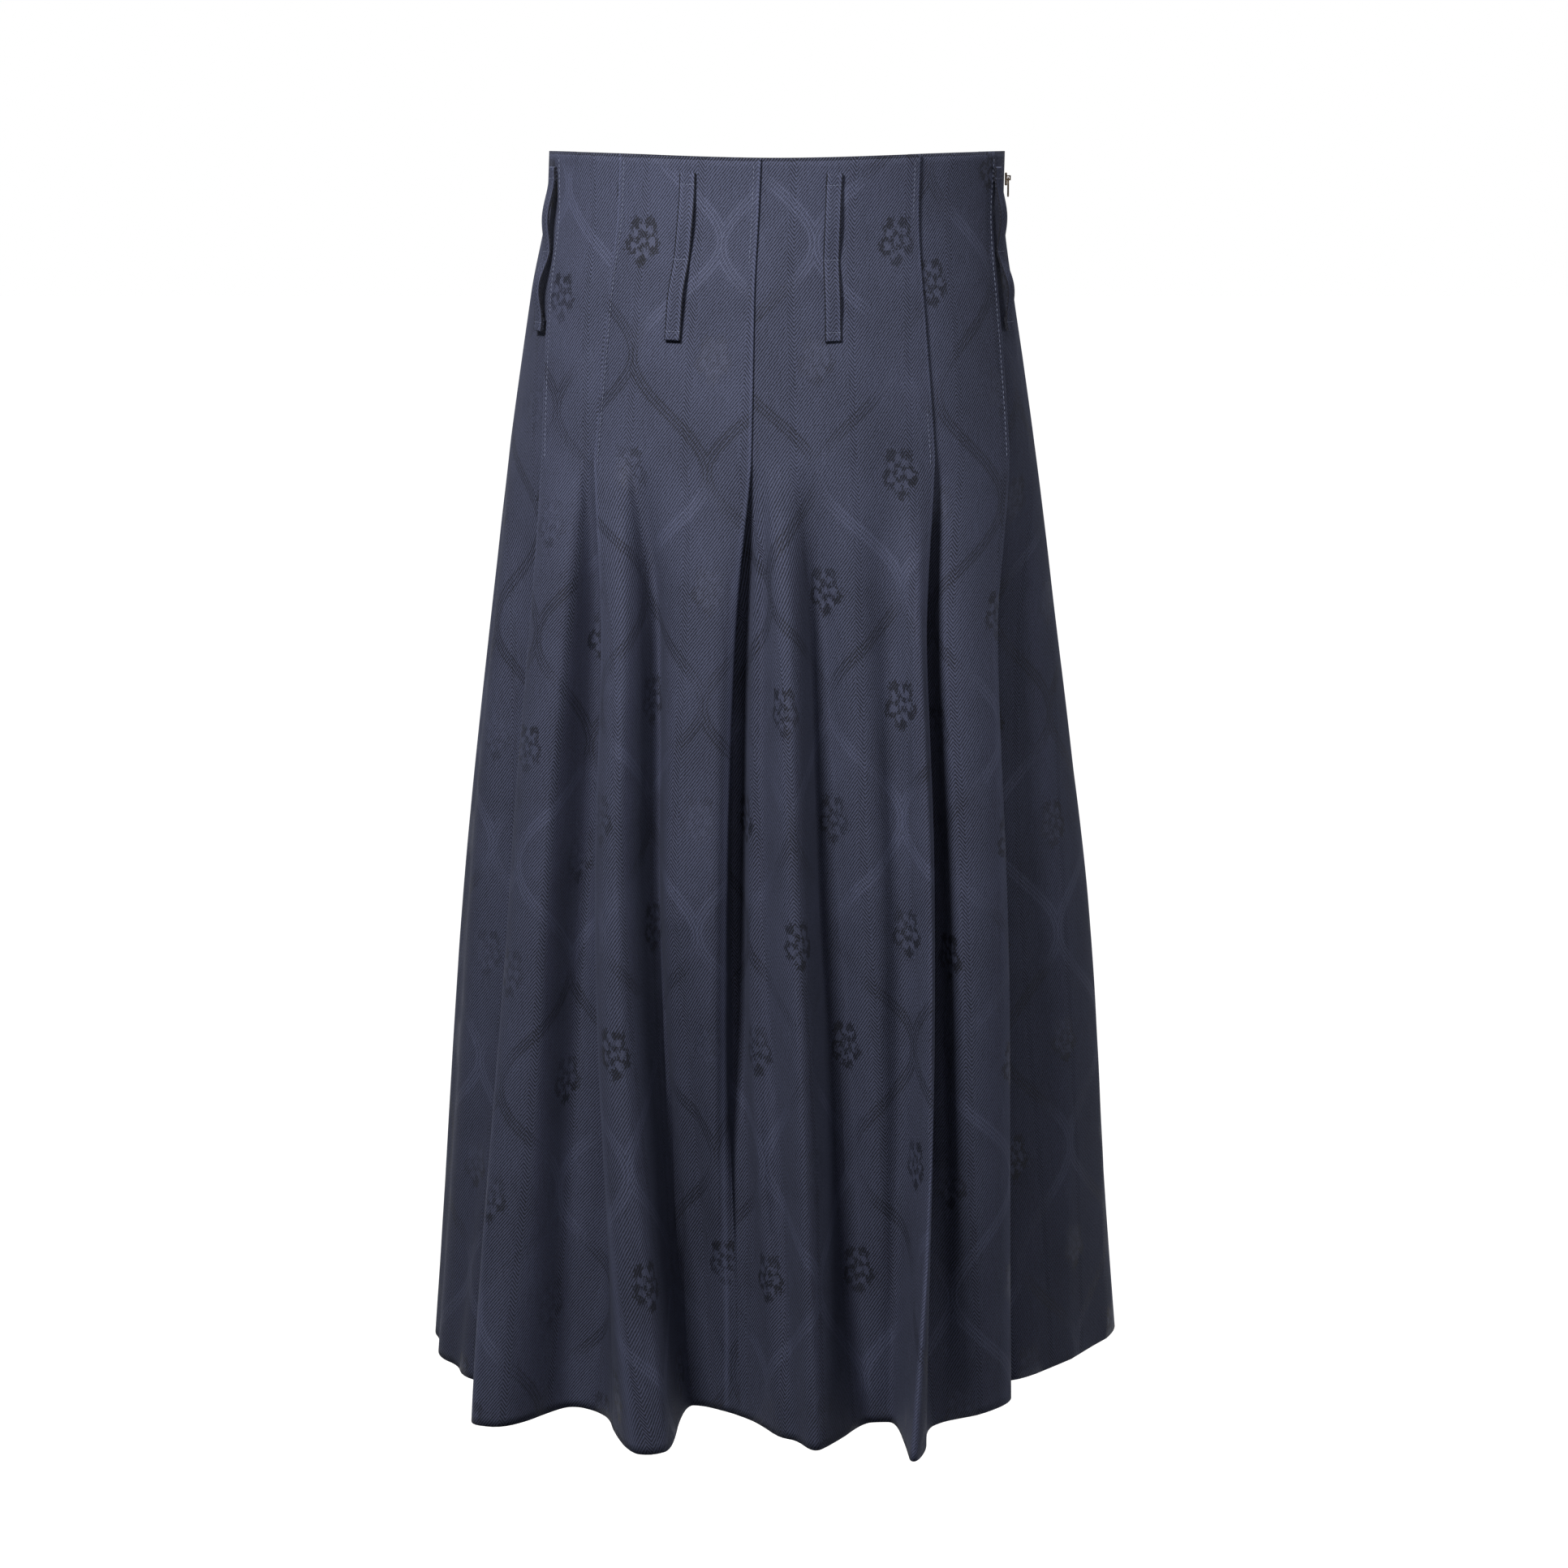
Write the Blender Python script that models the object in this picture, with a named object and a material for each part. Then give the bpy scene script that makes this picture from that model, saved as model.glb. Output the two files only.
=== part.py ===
"""Kilt skirt in its worn, filled-out shape: eight flared gores, knife pleats that are
stitched down to the hip and open below it, six long belt loops and a side zip's pull.

Metres, +Z up. The front faces -Y, +X is the wearer's left, and the origin is the middle
of the waist line, where the wearer holds the skirt up."""
import math

import bmesh
import bpy
import numpy as np

MM = 0.001

# Cloth
WALL = 1.3 * MM            # heavy wool cloth
LAYER = 2.1 * MM           # middle to middle of two layers in a stitched pleat
SEAM_GAP = 0.4 * MM        # kept between pieces that are sewn together
BEND_REACH = 30 * MM       # furthest that a soft bend reaches along the cloth
BEND_SHARE = 0.38          # and the largest share of a leg that it takes
FOLD_ROUND = 1.5           # a fold's bend reaches this many times its own width
TIGHT_BEND = 52            # a bend of more degrees gets more columns

# Heights
HEM = -0.787
RELEASE = -0.186           # the pleats are stitched down as far as this
OPENED = -0.300            # here the pleats have opened by OPENED_SHARE
MIDDLE = -0.450
OPENED_SHARE = 0.75
WAIST_DIP = 4.5 * MM       # the waist line is lower at front and back than at the sides
ROWS = (0.0, -0.030, -0.055, -0.090, RELEASE, -0.215, -0.255, OPENED,
        -0.365, MIDDLE, -0.545, -0.630, -0.664, -0.691, -0.720, HEM)

# The skirt's girth, an oval at each height.
# height, half_width, half_depth, centre_x
RINGS = (
    (0.000, 0.1455, 0.105, 0.0000),
    (-0.030, 0.1460, 0.106, -0.0010),
    (-0.090, 0.1550, 0.114, -0.0030),
    (RELEASE, 0.1695, 0.128, -0.0030),
    (OPENED, 0.1845, 0.143, -0.0035),
    (MIDDLE, 0.2030, 0.163, -0.0030),
    (HEM, 0.2350, 0.198, -0.0010),
)

# The fold lines of the front half, from the right side seam round to the left one.
# Degrees run round the oval from the middle of the front, positive to the wearer's left.
# kind is side for a side seam, wave for a soft fold or a plain stretch, and for a pleat:
# edge (its outer fold), tuck (under the edge), inner and deep (the hidden inner fold)
# and under (where the lower cloth comes out). layer is the place in the stitched pleat.
# mid and hem: degrees, and millimetres out of the oval.
# name, kind, layer, waist_deg, release_deg, mid_deg, mid_out, hem_deg, hem_out
FOLDS = (
    ("side_seam", "side", 0.0, -90.0, -90.0, -90.0, 0.0, -90.0, -2.0),
    ("right_hollow", "wave", -0.3, -85.0, -84.0, -80.0, -5.0, -81.0, -9.0),
    ("right_ridge", "wave", -0.45, -81.0, -78.0, -70.0, 5.0, -73.0, 0.0),
    ("right_valley", "wave", -0.6, -77.0, -70.0, -63.0, -11.0, -66.0, -8.0),
    ("right_side", "under", -1.0, -72.4, -60.5, -58.0, -16.0, -60.5, 0.0),
    ("right_side", "deep", -1.0, -65.6, -53.5, -48.5, -34.0, -53.0, -8.0),
    ("right_side", "inner", 0.0, -65.6, -53.5, -48.5, -27.0, -48.5, -1.0),
    ("right_side", "tuck", 0.0, -70.6, -58.2, -52.4, 0.0, -46.0, 27.0),
    ("right_side", "edge", 1.0, -70.6, -58.2, -52.6, 7.0, -43.2, 52.0),
    ("right_crest", "wave", 1.0, -64.0, -54.0, -49.0, 11.0, -38.8, 46.0),
    ("right_flat", "wave", 0.3, -52.0, -49.0, -44.5, 10.0, -37.2, 28.0),
    ("right_roll", "wave", -0.3, -47.0, -45.2, -41.0, 4.0, -35.9, 12.0),
    ("right_gap", "wave", -0.7, -45.0, -43.8, -42.8, -30.0, -35.0, -4.0),
    ("right_front", "under", -1.0, -43.0, -42.3, -34.4, -20.0, -33.6, -9.0),
    ("right_front", "deep", -1.0, -37.0, -36.0, -29.5, -29.0, -30.0, -10.0),
    ("right_front", "inner", 0.0, -37.0, -36.0, -29.5, -22.0, -26.5, -2.0),
    ("right_front", "tuck", 0.0, -41.5, -40.6, -31.6, 1.0, -22.3, 27.0),
    ("right_front", "edge", 1.0, -41.5, -40.6, -31.8, 9.0, -18.2, 51.0),
    ("centre_crest", "wave", 1.0, -36.0, -35.0, -28.4, 24.0, -15.6, 50.0),
    ("centre_slope", "wave", 1.0, -34.0, -32.4, -25.0, 23.0, -13.6, 38.0),
    ("centre_valley", "wave", 1.0, -32.0, -30.0, -24.2, -32.0, -16.8, -40.0),
    ("right_loop", "wave", 1.0, -21.5, -22.5, -19.2, 1.0, -13.2, -41.0),
    ("centre_roll", "wave", 1.0, -12.0, -12.5, -10.4, 7.0, -10.6, -37.0),
    ("centre", "edge", 1.0, -3.9, -4.4, -8.0, -3.0, -8.6, -33.0),
    ("centre", "tuck", 0.0, -3.9, -4.4, -8.2, -9.0, -6.9, -29.0),
    ("centre", "inner", 0.0, -8.4, -9.0, -8.8, -24.0, -5.0, -23.0),
    ("centre", "deep", -1.0, -8.4, -9.0, -8.2, -31.0, -3.2, -16.0),
    ("centre", "under", -1.0, -2.4, -2.7, -5.4, -29.0, -1.4, -5.0),
    ("centre_shoulder", "wave", -0.9, -1.6, -2.0, -3.8, -12.0, 0.8, 8.0),
    ("centre_dip", "wave", -0.8, -0.8, -1.4, -1.3, -9.0, 2.6, 22.0),
    ("left_crest", "wave", -0.6, 0.4, -0.4, 1.7, 19.0, 4.6, 36.0),
    ("left_slope", "wave", -0.3, 3.4, 3.0, 5.2, 20.0, 6.6, 32.0),
    ("left_valley", "wave", 0.0, 8.0, 7.6, 10.3, -32.0, 13.8, -9.0),
    ("left_loop", "wave", 0.3, 14.1, 13.4, 16.8, 6.0, 17.0, -8.0),
    ("left_dip", "wave", 0.6, 25.0, 24.4, 24.2, -12.0, 19.3, -5.0),
    ("left_ridge", "wave", 0.9, 31.5, 30.5, 26.6, 18.0, 17.7, 36.0),
    ("left_front", "edge", 1.0, 37.2, 36.5, 28.8, 9.0, 16.5, 68.0),
    ("left_front", "tuck", 0.0, 37.2, 36.5, 28.6, 2.0, 19.4, 50.0),
    ("left_front", "inner", 0.0, 32.7, 32.0, 24.6, -22.0, 21.8, 20.0),
    ("left_front", "deep", -1.0, 32.7, 32.0, 24.6, -29.0, 23.6, 9.0),
    ("left_front", "under", -1.0, 38.7, 38.2, 35.0, -24.0, 26.4, 4.0),
    ("left_roll", "wave", -0.4, 41.5, 40.4, 33.4, 1.0, 29.2, 3.0),
    ("left_flat", "wave", 0.7, 52.0, 47.0, 37.8, 9.0, 33.0, 3.0),
    ("left_side", "edge", 1.0, 70.5, 61.5, 45.6, 6.0, 40.4, -5.0),
    ("left_side", "tuck", 0.0, 70.5, 61.5, 45.7, -1.0, 43.4, -16.0),
    ("left_side", "inner", 0.0, 65.3, 56.5, 41.0, -18.0, 45.0, -30.0),
    ("left_side", "deep", -1.0, 65.3, 56.5, 41.0, -25.0, 47.4, -37.0),
    ("left_side", "under", -1.0, 72.3, 63.5, 50.0, -20.0, 51.2, -32.0),
    ("left_hollow", "wave", -0.6, 77.0, 71.0, 60.0, -11.0, 60.0, -30.0),
    ("left_curve", "wave", -0.3, 83.0, 80.0, 73.0, 3.0, 76.0, -20.0),
)
BACK_DEPTH = 0.84
BACK_UNEVEN = 0.16

PANELS = ("front_side_right", "front_centre_right", "front_centre_left",
          "front_side_left", "back_side_left", "back_centre_left",
          "back_centre_right", "back_side_right")

# Belt loops
LOOP_WIDTH = 10 * MM
LOOP_THICK = 1.6 * MM
LOOP_TOP = -0.0105
LOOP_BOTTOM = -0.111
LOOP_TACKS = (0.06, 0.52, 0.95)    # where each loop is sewn down, as shares of its length
# layer is that of the cloth below; bow is in mm off the cloth between the tacks.
# name, top_deg, bottom_deg, layer, bow
LOOPS = (
    ("belt_loop_front_right", -21.5, -22.2, 1.0, 1.5),
    ("belt_loop_front_left", 14.1, 13.5, 0.3, 1.5),
    ("belt_loop_side_left", 70.5, 70.0, 1.0, 3.5),
    ("belt_loop_back_left", 158.5, 157.8, 1.0, 1.5),
    ("belt_loop_back_right", 194.1, 193.5, 0.3, 1.5),
    ("belt_loop_side_right", 288.0, 293.0, 1.0, 3.5),
)

# Side zip: a slider with a bail, and a pull tab whose eyelet turns in the bail
ZIP_AXIS_Z = -0.0170               # height of the pull's hinge axis
SLIDER_WIDTH = 4.6 * MM
SLIDER_ABOVE = 3.4 * MM
SLIDER_BELOW = 4.8 * MM
SLIDER_THICK = 1.2 * MM
BAIL_WIDTH = 1.4 * MM
BAIL_BAR = 0.8 * MM
BAIL_ROOM = 0.85 * MM              # axis to slider, to the bail's bar and to its upper leg
BAIL_BELOW = 0.75 * MM             # axis to the bail's lower leg
PULL_THICK = 0.9 * MM
PULL_LENGTH = 12.0 * MM
PULL_WIDTH = 5.2 * MM
EYELET_WIDTH = 2.2 * MM
EYELET_END = 2.65 * MM             # axis to the far end of the eyelet
EYELET_SIDE = 0.9 * MM

# name: colour, roughness, metallic
CLOTH = ("navy_wool", (0.044, 0.050, 0.082), 0.9, 0.0)
METAL = ("dark_bronze", (0.055, 0.038, 0.030), 0.38, 1.0)


def clear_scene():
    for item in list(bpy.data.objects):
        bpy.data.objects.remove(item, do_unlink=True)


def material(name, colour, roughness, metallic):
    mat = bpy.data.materials.new(name)
    mat.use_nodes = True
    surface = mat.node_tree.nodes["Principled BSDF"]
    surface.inputs["Base Color"].default_value = (*colour, 1.0)
    surface.inputs["Roughness"].default_value = roughness
    surface.inputs["Metallic"].default_value = metallic
    mat.diffuse_color = (*colour, 1.0)
    return mat


def add_object(name, bm, finish):
    mesh = bpy.data.meshes.new(name)
    bm.to_mesh(mesh)
    bm.free()
    mesh.materials.append(material(name + "_" + finish[0], *finish[1:]))
    item = bpy.data.objects.new(name, mesh)
    bpy.context.scene.collection.objects.link(item)
    return item


def smooth_through(stations, values, z):
    """Smooth curve through values at falling heights, without overshoot."""
    x = [-s for s in stations]
    steps = [(values[i + 1] - values[i]) / (x[i + 1] - x[i]) for i in range(len(x) - 1)]
    slopes = [steps[0]]
    for before, after in zip(steps, steps[1:]):
        same_way = before * after > 0
        slopes.append(2 * before * after / (before + after) if same_way else 0.0)
    slopes.append(steps[-1])
    i = 0
    while i < len(steps) - 1 and -z > x[i + 1]:
        i += 1
    length = x[i + 1] - x[i]
    t = min(max((-z - x[i]) / length, 0.0), 1.0)
    rise = values[i + 1] - values[i]
    a = slopes[i] * length - rise
    b = -slopes[i + 1] * length + rise
    return (1 - t) * values[i] + t * values[i + 1] + t * (1 - t) * ((1 - t) * a + t * b)


def oval(z):
    heights = [row[0] for row in RINGS]
    return [smooth_through(heights, [row[k] for row in RINGS], z) for k in (1, 2, 3)]


def cloth_point(deg, out, z):
    """Point at an angle round the oval of height z, moved out of it by out."""
    half_width, half_depth, centre_x = oval(z)
    angle = math.radians(deg)
    across = half_depth * math.sin(angle)
    along = -half_width * math.cos(angle)
    size = math.hypot(across, along)
    x = centre_x + half_width * math.sin(angle) + out * across / size
    y = -half_depth * math.cos(angle) + out * along / size
    front_share = y * y / ((x - centre_x) ** 2 + y * y)
    dip = WAIST_DIP * front_share * (1 - z / HEM)
    return np.array((x, y, z - dip))


def fold_rows():
    """Every fold line all round: (kind, layer, degrees at waist, release, middle and hem,
    then metres out of the oval at middle and hem)."""
    rows = []
    for _, kind, layer, waist, release, mid, mid_out, hem, hem_out in FOLDS:
        rows.append((kind, layer, waist, release, mid, hem, mid_out * MM, hem_out * MM))
    for _, kind, layer, waist, release, mid, mid_out, hem, hem_out in FOLDS:
        depth = MM * BACK_DEPTH * (1 + BACK_UNEVEN * math.sin(math.radians(3 * hem + 40)))
        if kind == "side":
            depth = MM
        turned = [angle + 180 for angle in (waist, release, mid, hem)]
        rows.append((kind, layer, *turned, mid_out * depth, hem_out * depth))
    return rows


def fold_at(row, z):
    """Angle and distance out of the oval of one fold line at height z."""
    _, layer, waist, release, mid, hem, mid_out, hem_out = row
    if z >= RELEASE:
        return waist + (release - waist) * z / RELEASE, layer * LAYER
    stations = (RELEASE, OPENED, MIDDLE, HEM)
    opened = release + (mid - release) * OPENED_SHARE
    out = layer * LAYER
    opened_out = out + (mid_out - out) * OPENED_SHARE
    deg = smooth_through(stations, (release, opened, mid, hem), z)
    return deg, smooth_through(stations, (out, opened_out, mid_out, hem_out), z)


PAIRS = {("edge", "tuck"), ("tuck", "edge"), ("inner", "deep"), ("deep", "inner")}
RETURNS = {("tuck", "inner"), ("inner", "tuck")}
FOLDED = ("edge", "tuck", "inner", "deep")


class Section:
    """The cloth's path round the skirt at one height: legs between bent corners."""

    def __init__(self, rows, z):
        self.z = z
        self.turns = [fold_at(row, z) for row in rows]
        self.count = len(rows)
        self.corners = [cloth_point(deg, out, z) for deg, out in self.turns]
        ahead = self.corners[1:] + self.corners[:1]
        self.lengths = [max(float(np.linalg.norm(b - a)), 1e-6)
                        for a, b in zip(self.corners, ahead)]
        self.spans = [self.span(rows, i) for i in range(self.count)]

    def span(self, rows, i):
        """The stretch of leg i between its two bends, as shares of the leg."""
        j = (i + 1) % self.count
        kinds = (rows[i][0], rows[j][0])
        if kinds in PAIRS or is_shared(kinds):
            return 0.5, 0.5
        length = self.lengths[i]
        start = end = min(BEND_SHARE, BEND_REACH / length)
        if kinds[0] in FOLDED:
            start = min(start, FOLD_ROUND * self.lengths[i - 1] / length)
        if kinds[1] in FOLDED:
            end = min(end, FOLD_ROUND * self.lengths[j] / length)
        return start, 1.0 - end

    def on_leg(self, i, share, shift=0.0):
        """Point on leg i: share of the stretch between its bends, then shift along it."""
        start, end = self.spans[i]
        f = start + share * (end - start) + shift / self.lengths[i]
        deg, out = self.turns[i]
        next_deg, next_out = self.turns[(i + 1) % self.count]
        if i == self.count - 1:
            next_deg += 360
        return cloth_point(deg + f * (next_deg - deg), out + f * (next_out - out), self.z)

    def on_bend(self, i, share, shift=0.0):
        """Point on the bend at corner i, then shift along the bend's direction there."""
        before = self.on_leg((i - 1) % self.count, 1.0)
        after = self.on_leg(i, 0.0)
        rest = 1 - share
        point = rest * rest * before + 2 * rest * share * self.corners[i]
        point = point + share * share * after
        if shift:
            ahead = after - before
            point = point + ahead * (shift / np.linalg.norm(ahead))
        return point

    def bend_angle(self, i):
        """Degrees by which the path turns at corner i."""
        coming = self.corners[i] - self.on_leg((i - 1) % self.count, 1.0)
        going = self.on_leg(i, 0.0) - self.corners[i]
        cosine = coming @ going / (np.linalg.norm(coming) * np.linalg.norm(going))
        return math.degrees(math.acos(min(max(float(cosine), -1.0), 1.0)))


def is_shared(kinds):
    """Two soft corners share the middle of the leg between them."""
    return kinds[0] not in FOLDED and kinds[1] not in FOLDED


def panel_columns(rows):
    """For each panel, the places of its columns on the path: ("leg", leg, share, shift)
    or ("bend", corner, share, shift). A panel ends at a side seam or inside the hidden
    return of a pleat."""
    hem = Section(rows, HEM)
    panels = []
    columns = []
    for i, row in enumerate(rows):
        kinds = (row[0], rows[(i + 1) % len(rows)][0])
        if row[0] == "side":
            columns.append(("bend", i, 0.5, -SEAM_GAP / 2))
            panels.append(columns)
            columns = [("bend", i, 0.5, SEAM_GAP / 2)]
        elif row[0] not in ("inner", "deep"):
            shares = (0.25, 0.5, 0.75) if hem.bend_angle(i) > TIGHT_BEND else (0.5,)
            columns += [("bend", i, share, 0.0) for share in shares]
        columns.append(("leg", i, 0.0, 0.0))
        if kinds in PAIRS or is_shared(kinds):
            continue
        if kinds in RETURNS and is_gore_seam(i, rows):
            columns.append(("leg", i, 0.5, -SEAM_GAP / 2))
            panels.append(columns)
            columns = [("leg", i, 0.5, SEAM_GAP / 2)]
        columns.append(("leg", i, 1.0, 0.0))
    panels[0] = columns + panels[0]
    return panels[1:] + panels[:1]


def is_gore_seam(i, rows):
    """Gores are joined in the centre pleat and the front ones; a side pleat is a fold."""
    half = len(FOLDS)
    return "side" not in FOLDS[i % half][0]


def cloth_sheet(name, points, thick):
    """A cloth piece: a grid laid through rows of points, given its wall by Solidify."""
    down, across = len(points), len(points[0])
    bm = bmesh.new()
    bmesh.ops.create_grid(bm, x_segments=across - 1, y_segments=down - 1, size=0.5)
    for vert in bm.verts:
        column = round((vert.co.x + 0.5) * (across - 1))
        row = round((0.5 - vert.co.y) * (down - 1))
        vert.co = points[row][column]
    item = add_object(name, bm, CLOTH)
    wall = item.modifiers.new("wall", "SOLIDIFY")
    wall.thickness = thick
    wall.offset = 0.0
    wall.use_even_offset = True
    item.data.shade_smooth()
    item.data.set_sharp_from_angle(angle=math.radians(50))
    return item


def build_panels():
    rows = fold_rows()
    sections = [Section(rows, z) for z in ROWS]
    for name, columns in zip(PANELS, panel_columns(rows)):
        points = []
        for section in sections:
            line = []
            for place in columns:
                find = section.on_bend if place[0] == "bend" else section.on_leg
                line.append(find(*place[1:]))
            points.append(line)
        cloth_sheet(name, points, WALL)


def loop_lift(share, layer, bow):
    """Distance of a belt loop's middle from the oval, bowed between its tacks."""
    seat = layer * LAYER + WALL / 2 + SEAM_GAP + LOOP_THICK / 2
    lift = 0.0
    for start, end in zip(LOOP_TACKS, LOOP_TACKS[1:]):
        if start < share < end:
            lift = bow * MM * math.sin(math.pi * (share - start) / (end - start)) ** 2
    return seat + lift


def build_loops():
    stations = 15
    for name, top_deg, bottom_deg, layer, bow in LOOPS:
        points = []
        for k in range(stations):
            share = k / (stations - 1)
            z = LOOP_TOP + (LOOP_BOTTOM - LOOP_TOP) * share
            deg = top_deg + (bottom_deg - top_deg) * share
            out = loop_lift(share, layer, bow)
            middle = cloth_point(deg, out, z)
            ahead = cloth_point(deg + 0.5, out, z) - cloth_point(deg - 0.5, out, z)
            ahead *= 0.5 * LOOP_WIDTH / np.linalg.norm(ahead)
            points.append([middle - ahead, middle, middle + ahead])
        cloth_sheet(name, points, LOOP_THICK)


def box_mesh(low, high):
    bm = bmesh.new()
    bmesh.ops.create_cube(bm, size=1.0)
    for vert in bm.verts:
        for k in range(3):
            vert.co[k] = low[k] if vert.co[k] < 0 else high[k]
    return bm


def build_slider(axis):
    """The slider's plate, with a bail standing on it along the zip."""
    face = -BAIL_ROOM
    outer = BAIL_ROOM + BAIL_BAR
    low = (face - SLIDER_THICK, -SLIDER_WIDTH / 2, -SLIDER_BELOW)
    high = (face, SLIDER_WIDTH / 2, SLIDER_ABOVE)
    bm = box_mesh(low, high)
    bmesh.ops.bevel(bm, geom=list(bm.edges), offset=0.35 * MM, segments=1,
                    profile=0.5, affect="EDGES", material=-1)
    slider = add_object("side_zip_slider", bm, METAL)
    slider.location = axis
    sunk = face - SLIDER_THICK / 2
    half = BAIL_WIDTH / 2
    legs = (
        ("bail_lower_leg", (sunk, -half, -BAIL_BELOW - BAIL_BAR), (outer, half, -BAIL_BELOW)),
        ("bail_upper_leg", (sunk, -half, BAIL_ROOM), (outer, half, BAIL_ROOM + BAIL_BAR)),
        ("bail_bar", (BAIL_ROOM, -half, -BAIL_BELOW - BAIL_BAR / 2),
         (outer, half, BAIL_ROOM + BAIL_BAR / 2)),
    )
    for name, low, high in legs:
        part = add_object(name, box_mesh(low, high), METAL)
        part.location = axis
        part.hide_render = True
        part.display_type = "WIRE"
        joined = slider.modifiers.new(name, "BOOLEAN")
        joined.operation = "UNION"
        joined.object = part


def build_pull(axis):
    """The pull tab: a plate with an eyelet round the bail, hanging from its axis."""
    bar = PULL_THICK / 2
    top_half = EYELET_WIDTH / 2 + EYELET_SIDE
    end_half = PULL_WIDTH / 2
    corner = 1.4 * MM
    # outline from the middle of the top bar, one side down to the middle of the end
    outline = ((0.0, bar), (top_half - 0.5 * MM, bar), (top_half, bar - 0.5 * MM),
               (top_half, -EYELET_END), (end_half, -PULL_LENGTH + corner),
               (end_half - corner, -PULL_LENGTH), (0.0, -PULL_LENGTH))
    inner_half = EYELET_WIDTH / 2
    inner = ((0.0, -bar), (inner_half - 0.2 * MM, -bar), (inner_half, -bar - 0.2 * MM),
             (inner_half, -EYELET_END / 2), (inner_half, -EYELET_END + 0.2 * MM),
             (inner_half - 0.2 * MM, -EYELET_END), (0.0, -EYELET_END))
    bm = bmesh.new()
    loops = []
    for side in (outline, inner):
        ring = list(side) + [(-y, z) for y, z in side[-2:0:-1]]
        verts = [bm.verts.new((0.0, y, z)) for y, z in ring]
        count = len(verts)
        loops.append([bm.edges.new((verts[k], verts[(k + 1) % count])) for k in range(count)])
    bmesh.ops.bridge_loops(bm, edges=loops[0] + loops[1])
    bmesh.ops.recalc_face_normals(bm, faces=list(bm.faces))
    pull = add_object("side_zip_pull", bm, METAL)
    wall = pull.modifiers.new("plate", "SOLIDIFY")
    wall.thickness = PULL_THICK
    wall.offset = 0.0
    pull.location = axis


def build_zip():
    half_width, _, centre_x = oval(ZIP_AXIS_Z)
    seat = centre_x + half_width + WALL / 2 + SEAM_GAP
    axis = (seat + SLIDER_THICK + BAIL_ROOM, 0.0, ZIP_AXIS_Z)
    build_slider(axis)
    build_pull(axis)


def main():
    clear_scene()
    build_panels()
    build_loops()
    build_zip()


main()
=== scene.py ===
"""Looks of a long kilt skirt: eight gores of heavy navy twill with a woven trellis, knife
pleats edge-stitched down to the hip, belt loops with turned ends, and a side zip's pull.

Metres, +Z up, the front faces -Y. The cloth is a thin shell along the solids' fold lines,
of which a few are moved by some millimetres, with creases, stitches and weave added."""
import math

import bmesh
import bpy
import numpy as np
from mathutils import Matrix, Vector, noise


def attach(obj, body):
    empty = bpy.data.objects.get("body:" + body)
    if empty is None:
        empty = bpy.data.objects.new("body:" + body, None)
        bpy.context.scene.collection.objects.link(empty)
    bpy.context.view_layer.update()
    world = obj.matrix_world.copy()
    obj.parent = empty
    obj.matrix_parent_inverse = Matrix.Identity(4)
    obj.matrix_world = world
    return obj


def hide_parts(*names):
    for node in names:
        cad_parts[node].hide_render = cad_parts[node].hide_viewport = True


MM = 0.001
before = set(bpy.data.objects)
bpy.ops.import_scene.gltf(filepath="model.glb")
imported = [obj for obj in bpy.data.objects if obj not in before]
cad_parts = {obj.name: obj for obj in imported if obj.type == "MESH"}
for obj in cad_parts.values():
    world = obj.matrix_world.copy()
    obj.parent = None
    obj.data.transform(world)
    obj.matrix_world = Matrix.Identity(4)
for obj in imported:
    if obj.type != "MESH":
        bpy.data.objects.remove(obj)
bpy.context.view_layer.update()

# --------------------------------------------------------------------------- cloth form
WALL = 0.9 * MM            # thickness of the cloth, thinner than the solids' wall
LAYER = 1.25 * MM          # middle to middle of two layers in a pressed pleat
SEAM_GAP = 0.05 * MM       # between pieces that are sewn together
BEND_REACH = 30 * MM       # furthest that a soft bend reaches along the cloth
BEND_SHARE = 0.38          # and the largest share of a leg that it takes
FOLD_ROUND = 1.5           # a fold's bend reaches this many times its own width

HEM = -0.787
RELEASE = -0.186           # the pleats are stitched down as far as this
OPENED = -0.300            # here the pleats have opened by OPENED_SHARE
MIDDLE = -0.450
OPENED_SHARE = 0.75
WAIST_DIP = 4.5 * MM       # the waist line is lower at front and back than at the sides

ROW_STEP = 5.5 * MM        # mesh spacing down the cloth
COLUMN_STEP = 5.0 * MM     # and across it, with at least this many columns in each stretch:
PLEAT_BEND_COLUMNS = 6     # a pleat's outer fold
SOFT_BEND_COLUMNS = 3      # any other bend
LEG_COLUMNS = 2            # a leg between two bends
SEAM_CLEAR = 0.05          # share of a bend or leg kept free of columns beside a seam

# The skirt's girth, an oval at each height: height, half_width, half_depth, centre_x
RINGS = (
    (0.000, 0.1455, 0.105, 0.0000),
    (-0.030, 0.1460, 0.106, -0.0010),
    (-0.090, 0.1550, 0.114, -0.0030),
    (RELEASE, 0.1695, 0.128, -0.0030),
    (OPENED, 0.1845, 0.143, -0.0035),
    (MIDDLE, 0.2030, 0.163, -0.0030),
    (HEM, 0.2350, 0.198, -0.0010),
)

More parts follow.
